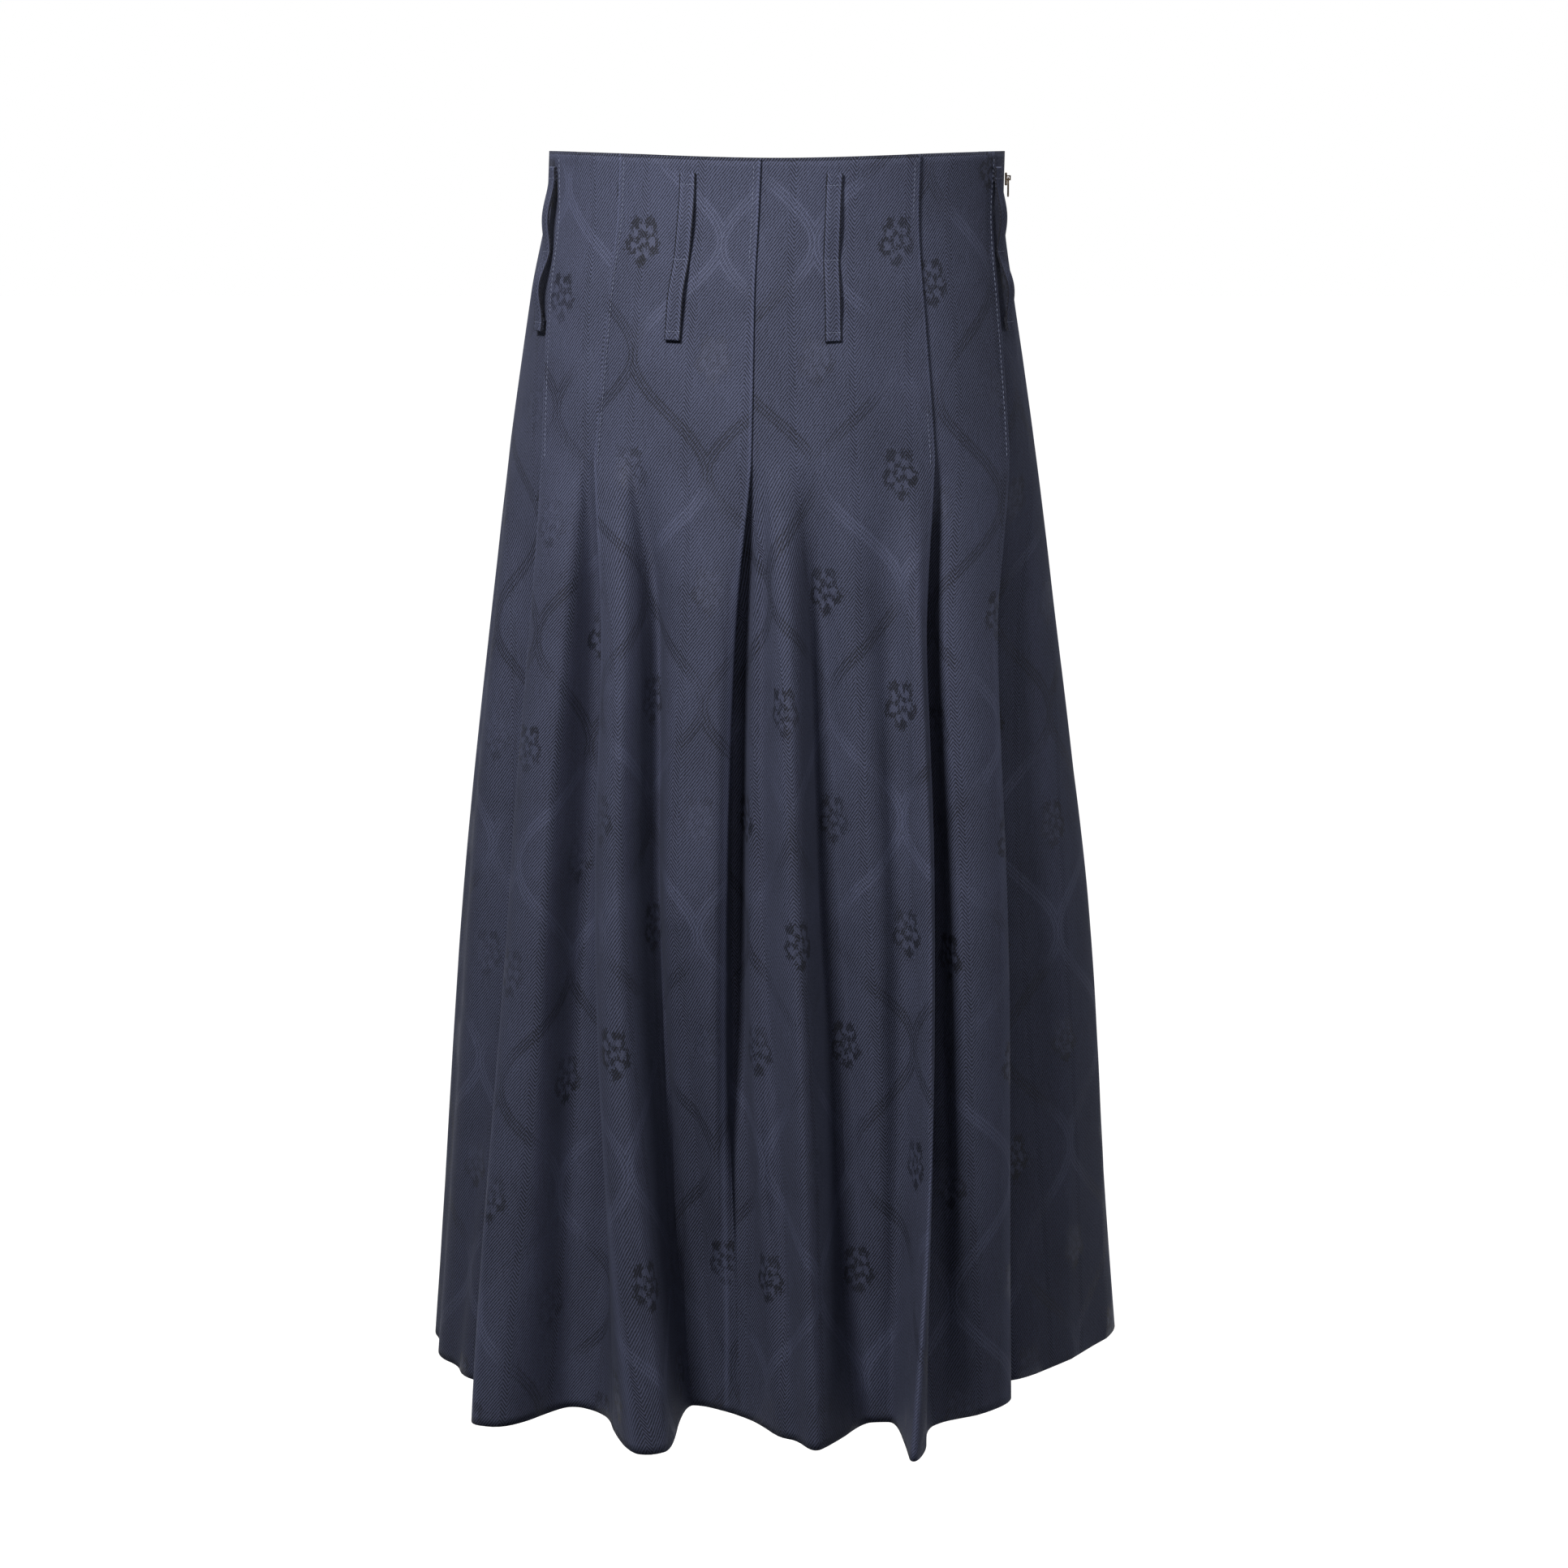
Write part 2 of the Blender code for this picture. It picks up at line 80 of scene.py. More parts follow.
# The fold lines of the front half, from the right side seam round to the left one.
# Degrees run round the oval from the middle of the front, positive to the wearer's left.
# kind is side for a side seam, wave for a soft fold or a plain stretch, and for a pleat:
# edge (its outer fold), tuck (under the edge), inner and deep (the hidden inner fold)
# and under (where the lower cloth comes out). layer is the place in the stitched pleat.
# mid and hem: degrees, and millimetres out of the oval.
# name, kind, layer, waist_deg, release_deg, mid_deg, mid_out, hem_deg, hem_out
FOLDS = (
    ("side_seam", "side", 0.0, -90.0, -90.0, -90.0, 0.0, -90.0, -2.0),
    ("right_hollow", "wave", -0.3, -85.0, -84.0, -80.0, -5.0, -81.0, -9.0),
    ("right_ridge", "wave", -0.45, -81.0, -78.0, -70.0, 5.0, -73.0, 0.0),
    ("right_valley", "wave", -0.6, -77.0, -70.0, -63.0, -11.0, -66.0, -8.0),
    ("right_side", "under", -1.0, -72.4, -60.5, -58.0, -16.0, -60.5, 0.0),
    ("right_side", "deep", -1.0, -65.6, -53.5, -48.5, -34.0, -53.0, -8.0),
    ("right_side", "inner", 0.0, -65.6, -53.5, -48.5, -27.0, -48.5, -1.0),
    ("right_side", "tuck", 0.0, -70.6, -58.2, -52.4, 0.0, -46.0, 27.0),
    ("right_side", "edge", 1.0, -70.6, -58.2, -52.6, 7.0, -43.2, 52.0),
    ("right_crest", "wave", 1.0, -64.0, -54.0, -49.0, 11.0, -38.8, 46.0),
    ("right_flat", "wave", 0.3, -52.0, -49.0, -44.5, 10.0, -37.2, 28.0),
    ("right_roll", "wave", -0.3, -47.0, -45.2, -42.0, 4.0, -36.8, 12.0),
    ("right_gap", "wave", -0.7, -45.0, -43.8, -43.2, -35.0, -35.9, -7.0),
    ("right_front", "under", -1.0, -43.0, -42.3, -34.8, -27.0, -33.6, -12.0),
    ("right_front", "deep", -1.0, -37.0, -36.0, -29.5, -29.0, -30.0, -10.0),
    ("right_front", "inner", 0.0, -37.0, -36.0, -29.5, -22.0, -26.5, -2.0),
    ("right_front", "tuck", 0.0, -41.5, -40.6, -31.6, 1.0, -22.3, 27.0),
    ("right_front", "edge", 1.0, -41.5, -40.6, -31.8, 9.0, -18.2, 51.0),
    ("centre_crest", "wave", 1.0, -36.0, -35.0, -27.6, 24.0, -15.6, 50.0),
    ("centre_slope", "wave", 1.0, -34.0, -32.4, -24.0, 23.0, -13.6, 38.0),
    ("centre_valley", "wave", 1.0, -32.0, -30.0, -23.2, -32.0, -16.8, -40.0),
    ("right_loop", "wave", 1.0, -21.5, -22.5, -19.2, 1.0, -13.2, -41.0),
    ("centre_roll", "wave", 1.0, -12.0, -12.5, -10.4, 7.0, -10.6, -37.0),
    ("centre", "edge", 1.0, -3.9, -4.4, -8.0, -3.0, -8.6, -33.0),
    ("centre", "tuck", 0.0, -3.9, -4.4, -8.2, -9.0, -6.9, -29.0),
    ("centre", "inner", 0.0, -8.4, -9.0, -8.8, -24.0, -5.0, -23.0),
    ("centre", "deep", -1.0, -8.4, -9.0, -8.2, -31.0, -3.2, -16.0),
    ("centre", "under", -1.0, -2.4, -2.7, -5.4, -29.0, -1.4, -5.0),
    ("centre_shoulder", "wave", -0.9, -1.6, -2.0, -4.0, -8.0, 0.8, 12.0),
    ("centre_dip", "wave", -0.8, -0.8, -1.4, -1.3, -13.0, 3.2, 16.0),
    ("left_crest", "wave", -0.6, 0.4, -0.4, 1.9, 19.0, 5.0, 36.0),
    ("left_slope", "wave", -0.3, 3.4, 3.0, 5.2, 20.0, 6.6, 32.0),
    ("left_valley", "wave", 0.0, 8.0, 7.6, 10.3, -32.0, 13.8, -9.0),
    ("left_loop", "wave", 0.3, 14.1, 13.4, 16.8, 6.0, 17.0, -8.0),
    ("left_dip", "wave", 0.6, 25.0, 24.4, 24.2, -12.0, 19.3, -5.0),
    ("left_ridge", "wave", 0.9, 31.5, 30.5, 26.6, 18.0, 17.7, 36.0),
    ("left_front", "edge", 1.0, 37.2, 36.5, 28.8, 9.0, 16.5, 68.0),
    ("left_front", "tuck", 0.0, 37.2, 36.5, 28.6, 2.0, 19.4, 50.0),
    ("left_front", "inner", 0.0, 32.7, 32.0, 24.6, -22.0, 21.8, 20.0),
    ("left_front", "deep", -1.0, 32.7, 32.0, 24.6, -29.0, 23.6, 9.0),
    ("left_front", "under", -1.0, 38.7, 38.2, 35.0, -24.0, 26.4, 4.0),
    ("left_roll", "wave", -0.4, 41.5, 40.4, 33.4, 1.0, 29.2, 3.0),
    ("left_flat", "wave", 0.7, 52.0, 47.0, 37.8, 9.0, 33.0, 3.0),
    ("left_side", "edge", 1.0, 70.5, 61.5, 45.6, 6.0, 40.4, -5.0),
    ("left_side", "tuck", 0.0, 70.5, 61.5, 45.7, -1.0, 43.4, -16.0),
    ("left_side", "inner", 0.0, 65.3, 56.5, 41.0, -18.0, 45.0, -30.0),
    ("left_side", "deep", -1.0, 65.3, 56.5, 41.0, -25.0, 47.4, -37.0),
    ("left_side", "under", -1.0, 72.3, 63.5, 50.0, -20.0, 51.2, -32.0),
    ("left_hollow", "wave", -0.6, 77.0, 71.0, 60.0, -11.0, 60.0, -30.0),
    ("left_curve", "wave", -0.3, 83.0, 80.0, 73.0, 3.0, 76.0, -20.0),
)
BACK_DEPTH = 0.84          # the back's folds are a little less deep,
BACK_UNEVEN = 0.16         # by more or less than that from fold to fold

# node: where the woven pattern starts on its gore, across and down, in mm
GORES = (
    ("front_side_right", 36, 20),
    ("front_centre_right", 4, 52),
    ("front_centre_left", 52, 52),
    ("front_side_left", 14, 8),
    ("back_side_left", 40, 30),
    ("back_centre_left", 4, 66),
    ("back_centre_right", 52, 66),
    ("back_side_right", 20, 44),
)


def smooth_through(stations, values, z):
    """Smooth curve through values at falling heights, without overshoot."""
    x = [-s for s in stations]
    steps = [(values[i + 1] - values[i]) / (x[i + 1] - x[i]) for i in range(len(x) - 1)]
    slopes = [steps[0]]
    for before, after in zip(steps, steps[1:]):
        same_way = before * after > 0
        slopes.append(2 * before * after / (before + after) if same_way else 0.0)
    slopes.append(steps[-1])
    i = 0
    while i < len(steps) - 1 and -z > x[i + 1]:
        i += 1
    length = x[i + 1] - x[i]
    t = min(max((-z - x[i]) / length, 0.0), 1.0)
    rise = values[i + 1] - values[i]
    a = slopes[i] * length - rise
    b = -slopes[i + 1] * length + rise
    return (1 - t) * values[i] + t * values[i + 1] + t * (1 - t) * ((1 - t) * a + t * b)


def oval(z):
    heights = [row[0] for row in RINGS]
    return [smooth_through(heights, [row[k] for row in RINGS], z) for k in (1, 2, 3)]


def cloth_point(deg, out, z, ring=None):
    """Point at an angle round the oval of height z, moved out of it by out."""
    half_width, half_depth, centre_x = ring or oval(z)
    angle = math.radians(deg)
    across = half_depth * math.sin(angle)
    along = -half_width * math.cos(angle)
    size = math.hypot(across, along)
    x = centre_x + half_width * math.sin(angle) + out * across / size
    y = -half_depth * math.cos(angle) + out * along / size
    front_share = y * y / ((x - centre_x) ** 2 + y * y)
    dip = WAIST_DIP * front_share * (1 - z / HEM)
    return np.array((x, y, z - dip))


def fold_rows():
    """Every fold line all round: (kind, layer, degrees at waist, release, middle and hem,
    then metres out of the oval at middle and hem)."""
    rows = []
    for _, kind, layer, waist, release, mid, mid_out, hem, hem_out in FOLDS:
        rows.append((kind, layer, waist, release, mid, hem, mid_out * MM, hem_out * MM))
    for _, kind, layer, waist, release, mid, mid_out, hem, hem_out in FOLDS:
        depth = MM * BACK_DEPTH * (1 + BACK_UNEVEN * math.sin(math.radians(3 * hem + 40)))
        if kind == "side":
            depth = MM     # a side seam isn't made shallower
        turned = [angle + 180 for angle in (waist, release, mid, hem)]
        rows.append((kind, layer, *turned, mid_out * depth, hem_out * depth))
    return rows


def fold_at(row, z):
    """Angle and distance out of the oval of one fold line at height z."""
    _, layer, waist, release, mid, hem, mid_out, hem_out = row
    if z >= RELEASE:
        return waist + (release - waist) * z / RELEASE, layer * LAYER
    stations = (RELEASE, OPENED, MIDDLE, HEM)
    opened = release + (mid - release) * OPENED_SHARE
    out = layer * LAYER
    opened_out = out + (mid_out - out) * OPENED_SHARE
    deg = smooth_through(stations, (release, opened, mid, hem), z)
    return deg, smooth_through(stations, (out, opened_out, mid_out, hem_out), z)


PAIRS = {("edge", "tuck"), ("tuck", "edge"), ("inner", "deep"), ("deep", "inner")}
RETURNS = {("tuck", "inner"), ("inner", "tuck")}
FOLDED = ("edge", "tuck", "inner", "deep")


def is_shared(kinds):
    """Two soft corners share the middle of the leg between them."""
    return kinds[0] not in FOLDED and kinds[1] not in FOLDED


class Section:
    """The cloth's path round the skirt at one height: legs between bent corners."""

    def __init__(self, rows, z):
        self.z = z
        self.ring = oval(z)
        self.turns = [fold_at(row, z) for row in rows]
        self.count = len(rows)
        self.corners = [cloth_point(deg, out, z, self.ring) for deg, out in self.turns]
        ahead = self.corners[1:] + self.corners[:1]
        self.lengths = [max(float(np.linalg.norm(b - a)), 1e-6)
                        for a, b in zip(self.corners, ahead)]
        self.spans = [self.span(rows, i) for i in range(self.count)]

    def span(self, rows, i):
        """The stretch of leg i between its two bends, as shares of the leg."""
        j = (i + 1) % self.count
        kinds = (rows[i][0], rows[j][0])
        if kinds in PAIRS or is_shared(kinds):
            return 0.5, 0.5
        length = self.lengths[i]
        start = end = min(BEND_SHARE, BEND_REACH / length)
        if kinds[0] in FOLDED:
            start = min(start, FOLD_ROUND * self.lengths[i - 1] / length)
        if kinds[1] in FOLDED:
            end = min(end, FOLD_ROUND * self.lengths[j] / length)
        return start, 1.0 - end

    def on_leg(self, i, share, shift=0.0):
        """Point on leg i: share of the stretch between its bends, then shift along it."""
        start, end = self.spans[i]
        f = start + share * (end - start) + shift / self.lengths[i]
        deg, out = self.turns[i]
        next_deg, next_out = self.turns[(i + 1) % self.count]
        if i == self.count - 1:
            next_deg += 360
        here = deg + f * (next_deg - deg), out + f * (next_out - out)
        return cloth_point(*here, self.z, self.ring)

    def on_bend(self, i, share, shift=0.0):
        """Point on the bend at corner i, then shift along the bend's direction there."""
        before = self.on_leg((i - 1) % self.count, 1.0)
        after = self.on_leg(i, 0.0)
        rest = 1 - share
        point = rest * rest * before + 2 * rest * share * self.corners[i]
        point = point + share * share * after
        if shift:
            ahead = after - before
            point = point + ahead * (shift / np.linalg.norm(ahead))
        return point

    def at(self, place):
        find = self.on_bend if place[0] == "bend" else self.on_leg
        return find(*place[1:])


def is_gore_seam(i):
    """Gores are joined in the centre pleat and the front ones; a side pleat is a fold."""
    return "side" not in FOLDS[i % len(FOLDS)][0]


def gore_columns(rows):
    """For each gore, its columns' places on the path: ("leg", leg, share, shift) or
    ("bend", corner, share, shift), close enough together for COLUMN_STEP."""
    guides = [Section(rows, z) for z in (MIDDLE, HEM)]

    def steps(kind, i, least):
        lengths = [np.linalg.norm(g.at((kind, i, 1.0)) - g.at((kind, i, 0.0))) for g in guides]
        return max(least, math.ceil(max(lengths) / COLUMN_STEP))

    gores, columns = [], []
    for i, row in enumerate(rows):
        kinds = (row[0], rows[(i + 1) % len(rows)][0])
        least = PLEAT_BEND_COLUMNS if row[0] in ("edge", "tuck") else SOFT_BEND_COLUMNS
        count = steps("bend", i, least)
        shares = [k / count for k in range(count)]
        if row[0] == "side":
            columns += [("bend", i, s, 0.0) for s in shares if s < 0.5 - SEAM_CLEAR]
            gores.append(columns + [("bend", i, 0.5, -SEAM_GAP / 2)])
            columns = [("bend", i, 0.5, SEAM_GAP / 2)]
            shares = [s for s in shares if s > 0.5 + SEAM_CLEAR]
        columns += [("bend", i, s, 0.0) for s in shares]
        if kinds in PAIRS or is_shared(kinds):
            continue
        count = steps("leg", i, LEG_COLUMNS)
        shares = [k / count for k in range(count)]
        if kinds in RETURNS and is_gore_seam(i):
            columns += [("leg", i, s, 0.0) for s in shares if s < 0.5 - SEAM_CLEAR]
            gores.append(columns + [("leg", i, 0.5, -SEAM_GAP / 2)])
            columns = [("leg", i, 0.5, SEAM_GAP / 2)]
            shares = [s for s in shares if s > 0.5 + SEAM_CLEAR]
        columns += [("leg", i, s, 0.0) for s in shares]
    gores[0] = columns + gores[0]
    return gores[1:] + gores[:1]


# --------------------------------------------------------------------------- creases
# Soft ridges, and troughs where depth is negative, on top of the fold lines: faint ones that
# wear has left, and deep ones in the hanging folds. They touch only cloth that faces out.
# top_deg, top, low_deg, low, then width and depth in mm
CREASES = (
    (-30.0, -0.020, -27.0, -0.170, 26, -0.9),
    (-14.0, -0.050, -13.0, -0.260, 30, 1.0),
    (6.5, -0.030, 8.0, -0.230, 24, -0.8),
    (24.0, -0.060, 23.0, -0.300, 28, 1.1),
    (33.0, -0.015, 30.0, -0.120, 16, -0.8),
    (-49.0, -0.040, -52.0, -0.240, 26, -1.0),
    (48.0, -0.030, 46.0, -0.200, 28, 0.9),
    (-12.0, -0.330, -10.5, -0.640, 26, -1.6),
    (-18.8, -0.300, -17.5, -0.560, 18, -3.0),
    (-24.0, -0.300, -23.0, -0.560, 9, 2.0),
    (15.0, -0.330, 16.5, -0.700, 24, 1.5),
    (7.5, -0.420, 9.0, -0.740, 22, -1.4),
    (-46.0, -0.340, -42.0, -0.700, 26, 1.5),
    (40.0, -0.360, 37.5, -0.720, 24, -1.4),
    (-64.0, -0.250, -66.0, -0.600, 34, 1.5),
    (-76.0, -0.380, -76.0, -0.760, 30, -1.8),
    (66.0, -0.280, 68.0, -0.640, 34, -1.8),
    (82.0, -0.400, 83.0, -0.760, 36, 1.6),
    (104.0, -0.300, 102.0, -0.700, 34, -1.6),
    (131.0, -0.050, 129.0, -0.230, 26, 1.0),
    (146.0, -0.330, 149.0, -0.690, 26, -1.5),
    (167.0, -0.060, 166.0, -0.250, 30, 1.0),
    (170.0, -0.350, 171.0, -0.700, 24, 1.5),
    (188.0, -0.040, 189.0, -0.240, 26, -0.9),
    (197.0, -0.360, 198.0, -0.720, 24, -1.5),
    (209.0, -0.050, 207.0, -0.260, 28, 1.0),
    (226.0, -0.330, 222.0, -0.690, 28, 1.5),
    (252.0, -0.300, 254.0, -0.680, 34, -1.7),
    (-42.0, -0.470, -36.5, -0.775, 18, -10.0),
    (-21.5, -0.470, -16.5, -0.775, 24, -10.0),
    (0.5, -0.440, 1.5, -0.765, 14, -8.0),
    (16.8, -0.470, 14.4, -0.765, 20, -6.0),
    (36.8, -0.330, 33.8, -0.740, 9, 4.0),
    (137.0, -0.470, 141.0, -0.775, 16, -7.0),
    (158.0, -0.470, 160.5, -0.775, 20, -7.0),
    (197.0, -0.470, 194.5, -0.765, 20, -5.5),
)
CREASE_FADE = 0.8          # how bluntly a crease ends; 1 is a sine's arch
CREASE_FALL = 2.5          # how fast it falls off across its width

# Unevenness all over the cloth: waves to a metre, across and down, and how far they stand out
SLOW_WAVES, SLOW_WAVES_DOWN, SLOW_RISE = 14, 5, 0.55 * MM
FINE_WAVES, FINE_WAVES_DOWN, FINE_RISE = 45, 22, 0.18 * MM


def crease_depth(deg, z, radius):
    """How far the cloth stands out at this place because of its creases."""
    stands_out = 0.0
    for top_deg, top, low_deg, low, width, depth in CREASES:
        along = (z - top) / (low - top)
        if not 0.0 < along < 1.0:
            continue
        off = (deg - top_deg - along * (low_deg - top_deg) + 180) % 360 - 180
        across = math.radians(off) * radius / (width * MM)
        fade = math.sin(math.pi * along) ** CREASE_FADE
        stands_out += depth * MM * fade * math.exp(-CREASE_FALL * across * across)
    return stands_out


def cloth_grid(sections, columns):
    """Points of one gore, row by row from the waist, with creases and a little unevenness."""
    grid = np.array([[section.at(place) for place in columns] for section in sections])
    across = np.gradient(grid, axis=1)
    down = np.gradient(grid, axis=0)
    normal = np.cross(down, across)
    normal /= np.linalg.norm(normal, axis=2, keepdims=True)
    lift = np.zeros(grid.shape[:2])
    for k in range(grid.shape[0]):
        for j in range(grid.shape[1]):
            x, y, z = grid[k, j]
            deg = math.degrees(math.atan2(x, -y))
            radius = math.hypot(x, y)
            slow = noise.noise(Vector((x * SLOW_WAVES, y * SLOW_WAVES, z * SLOW_WAVES_DOWN)))
            fine = noise.noise(Vector((x * FINE_WAVES, y * FINE_WAVES, z * FINE_WAVES_DOWN + 7)))
            faces_out = max(0.0, (normal[k, j, 0] * x + normal[k, j, 1] * y) / radius)
            lift[k, j] = crease_depth(deg, z, radius) * faces_out
            lift[k, j] += SLOW_RISE * slow + FINE_RISE * fine
    # the sewn edges keep to each other
    free = np.ones(grid.shape[1])
    free[0] = free[-1] = 0.0
    free[1] = free[-2] = 0.5
    return grid + normal * (lift * free)[:, :, None]


# --------------------------------------------------------------------------- mesh helpers
def link_piece(name, bm, material, smooth_angle=50):
    mesh = bpy.data.meshes.new(name)
    bm.to_mesh(mesh)
    bm.free()
    mesh.materials.append(material)
    mesh.shade_smooth()
    mesh.set_sharp_from_angle(angle=math.radians(smooth_angle))
    piece = bpy.data.objects.new(name, mesh)
    bpy.context.scene.collection.objects.link(piece)
    return piece


def grid_sheet(name, points, flat_places, material, pressed=None):
    """A sheet through rows of points, whose UV map holds the cut cloth's own metres. Its attribute
    for the painted highlight along pressed folds says how near each column is to a pleat's pressed
    fold."""
    down, across = points.shape[:2]
    bm = bmesh.new()
    bmesh.ops.create_grid(bm, x_segments=across - 1, y_segments=down - 1, size=0.5)
    uv_map = bm.loops.layers.uv.new("cut_cloth")
    # each vertex's share of the painted highlight along pressed folds
    wear_and_highlight = bm.verts.layers.float.new("pressed_edge_highlight")
    spot = {}
    for vert in bm.verts:
        column = round((vert.co.x + 0.5) * (across - 1))
        row = round((0.5 - vert.co.y) * (down - 1))
        spot[vert] = (row, column)
        vert.co = points[row, column]
        vert[wear_and_highlight] = pressed[column] if pressed else 0.0
    for face in bm.faces:
        for loop in face.loops:
            loop[uv_map].uv = flat_places[spot[loop.vert]]
    return link_piece(name, bm, material)


def give_wall(piece, thick, bevel=0.0):
    wall = piece.modifiers.new("wall", "SOLIDIFY")
    wall.thickness = thick
    wall.offset = 0.0
    wall.use_even_offset = False
    if bevel:
        edge = piece.modifiers.new("worn edge", "BEVEL")
        edge.width = bevel
        edge.segments = 2
        edge.limit_method = "ANGLE"
        edge.angle_limit = math.radians(60)


def flat_measure(points, anchor):
    """Metres across and down the cut cloth for every point of a grid. The anchor column
    is the straight of grain; across is measured from it along each row."""
    steps = np.linalg.norm(np.diff(points, axis=1), axis=2)
    along = np.concatenate((np.zeros((len(points), 1)), np.cumsum(steps, axis=1)), axis=1)
    across = along - along[:, anchor:anchor + 1]
    fall = np.linalg.norm(np.diff(points[:, anchor], axis=0), axis=1)
    down = np.concatenate(([0.0], np.cumsum(fall)))
    return across, np.repeat(-down[:, None], points.shape[1], axis=1)


def grid_area(points):
    right = points[:-1, 1:] - points[:-1, :-1]
    below = points[1:, :-1] - points[:-1, :-1]
    return float(np.linalg.norm(np.cross(right, below), axis=2).sum())


# --------------------------------------------------------------------------- materials
def linear(hex_colour):
    """A hex colour as linear red, green, blue and 1."""
    values = [int(hex_colour[k:k + 2], 16) / 255 for k in (1, 3, 5)]
    bright = [v / 12.92 if v <= 0.04045 else ((v + 0.055) / 1.055) ** 2.4 for v in values]
    return (*bright, 1.0)


def node(tree, kind, inputs=(), out=0, **settings):
    """Add a node; inputs are numbers, colours or sockets, in order or by name."""
    made = tree.nodes.new("ShaderNode" + kind)
    for name, value in settings.items():
        setattr(made, name, value)
    for key, value in inputs.items() if isinstance(inputs, dict) else enumerate(inputs):
        if isinstance(value, bpy.types.NodeSocket):
            tree.links.new(value, made.inputs[key])
        elif value is not None:
            made.inputs[key].default_value = value
    return made.outputs[out]


def new_material(name):
    material = bpy.data.materials.new(name)
    material.use_nodes = True
    return material, material.node_tree, material.node_tree.nodes["Principled BSDF"]


TWILL_PITCH = 1.5 * MM     # across one diagonal rib; 0.9 in the cloth, drawn coarser to show
TWILL_RISE = 0.73          # the ribs climb steeply, 54 degrees: across over up
RIB_WANDERS = 160.0        # ripples in the ribs to a metre, so 6 mm each
YARN_PITCH = 0.5 * MM      # one warp yarn
YARN_STREAKS = 70.0        # streaks along a yarn to a metre, so 14 mm each
FIBRE_FLECKS = 800.0       # to a metre, so 1.25 mm each
DYE_CLOUDS = 18.0          # to a metre, so 56 mm each
STRIPE_PITCH = 37 * MM     # between the narrow herringbone stripes in the warp
STRIPE_WIDTH = 4 * MM
JACQUARD_STEPS = (300.0, 900.0, 1.0)   # to a metre across and down: 3.3 and 1.1 mm
FLOAT_STEPS = (620.0, 330.0, 1.0)      # to a metre across and down: 1.6 and 3 mm
TRELLIS_WIDTH = 104 * MM   # one ogee of the woven trellis
TRELLIS_HEIGHT = 142 * MM
TRELLIS_GAP = 2.5 * MM     # between the three lines of a trellis band
TRELLIS_LINE = 0.75 * MM
TRELLIS_BAND = 0.2         # share of satin between and beside the lines
FLOWER = 17 * MM           # half the height of the woven flower
FLOWER_SLIM = 1.35         # it is this much narrower than high
FLOWER_FRAY = 0.95         # how far its floats run in and out of its outline

# How much each of the cloth's features moves its colour from dark (0) to pale (1)
CLOTH_DARK, CLOTH_PALE = "#14161e", "#505670"
GROUND_TONE = -0.62
RIB_TONE = 0.66
FLECK_TONE = 0.70
YARN_TONE = 0.40
CLOUD_TONE = 0.35
STRIPE_TONE = -0.04
# a painted highlight along each pleat's pressed fold
PRESSED_EDGE_HIGHLIGHT_TONE = 0.34
TURNED_TOP_TONE = -0.28
TURNED_TOP = 1.8 * MM      # the cloth turned over the waist edge shows this far down


def wrapped(tree, value, shift, period):
    """A coordinate that repeats with a period, centred on nought."""
    moved = node(tree, "Math", (value, shift), operation="ADD")
    return node(tree, "Math", (moved, period / 2, -period / 2), operation="WRAP")


def petal_ring(tree, angle, reach, petals, turned, size, notch):
    """How far inside a ring of round petals a place is, as a share of the flower's radius."""
    turn = node(tree, "Math", (angle, petals / 2, turned * petals / 2), operation="MULTIPLY_ADD")
    swing = node(tree, "Math", (turn,), operation="COSINE")
    lobe = node(tree, "Math", (swing,), operation="ABSOLUTE")
    rim = node(tree, "Math", (lobe, notch, size - notch), operation="MULTIPLY_ADD")
    return node(tree, "Math", (rim, reach), operation="SUBTRACT")


def trellis_bands(tree, u, v):
    """Three thin lines side by side on a fainter band along the ogees: the satin share."""
    turn = node(tree, "Math", (v, 2 * math.pi / TRELLIS_HEIGHT), operation="MULTIPLY")
    swing = node(tree, "Math", (turn,), operation="COSINE")
    curve = node(tree, "Math", (swing, TRELLIS_WIDTH / 4, TRELLIS_WIDTH / 4),
                 operation="MULTIPLY_ADD")
    side = node(tree, "Math", (wrapped(tree, u, 0.0, TRELLIS_WIDTH),), operation="ABSOLUTE")
    off = node(tree, "Math", (side, curve), operation="SUBTRACT")
    # the lines keep their width where the curves lean
    steepest = math.pi * TRELLIS_WIDTH / (2 * TRELLIS_HEIGHT)
    lean = node(tree, "Math", (turn,), operation="SINE")
    lean = node(tree, "Math", (lean, steepest), operation="MULTIPLY")
    slope = node(tree, "Math", (lean, lean, 1.0), operation="MULTIPLY_ADD")
    stretch = node(tree, "Math", (slope,), operation="SQRT")
    away = node(tree, "Math", (off, stretch), operation="DIVIDE")
    away = node(tree, "Math", (away,), operation="ABSOLUTE")
    outer = node(tree, "Math", (away, TRELLIS_GAP), operation="SUBTRACT")
    outer = node(tree, "Math", (outer,), operation="ABSOLUTE")
    nearest = node(tree, "Math", (away, outer), operation="MINIMUM")
    lines = node(tree, "MapRange", {"Value": nearest, "From Min": 0.65 * TRELLIS_LINE,
                                    "From Max": 0.3 * TRELLIS_LINE})
    between = node(tree, "Math", (away, 1.7 * TRELLIS_GAP), operation="LESS_THAN")
    return node(tree, "Math", (between, TRELLIS_BAND, lines), operation="MULTIPLY_ADD",
                use_clamp=True)


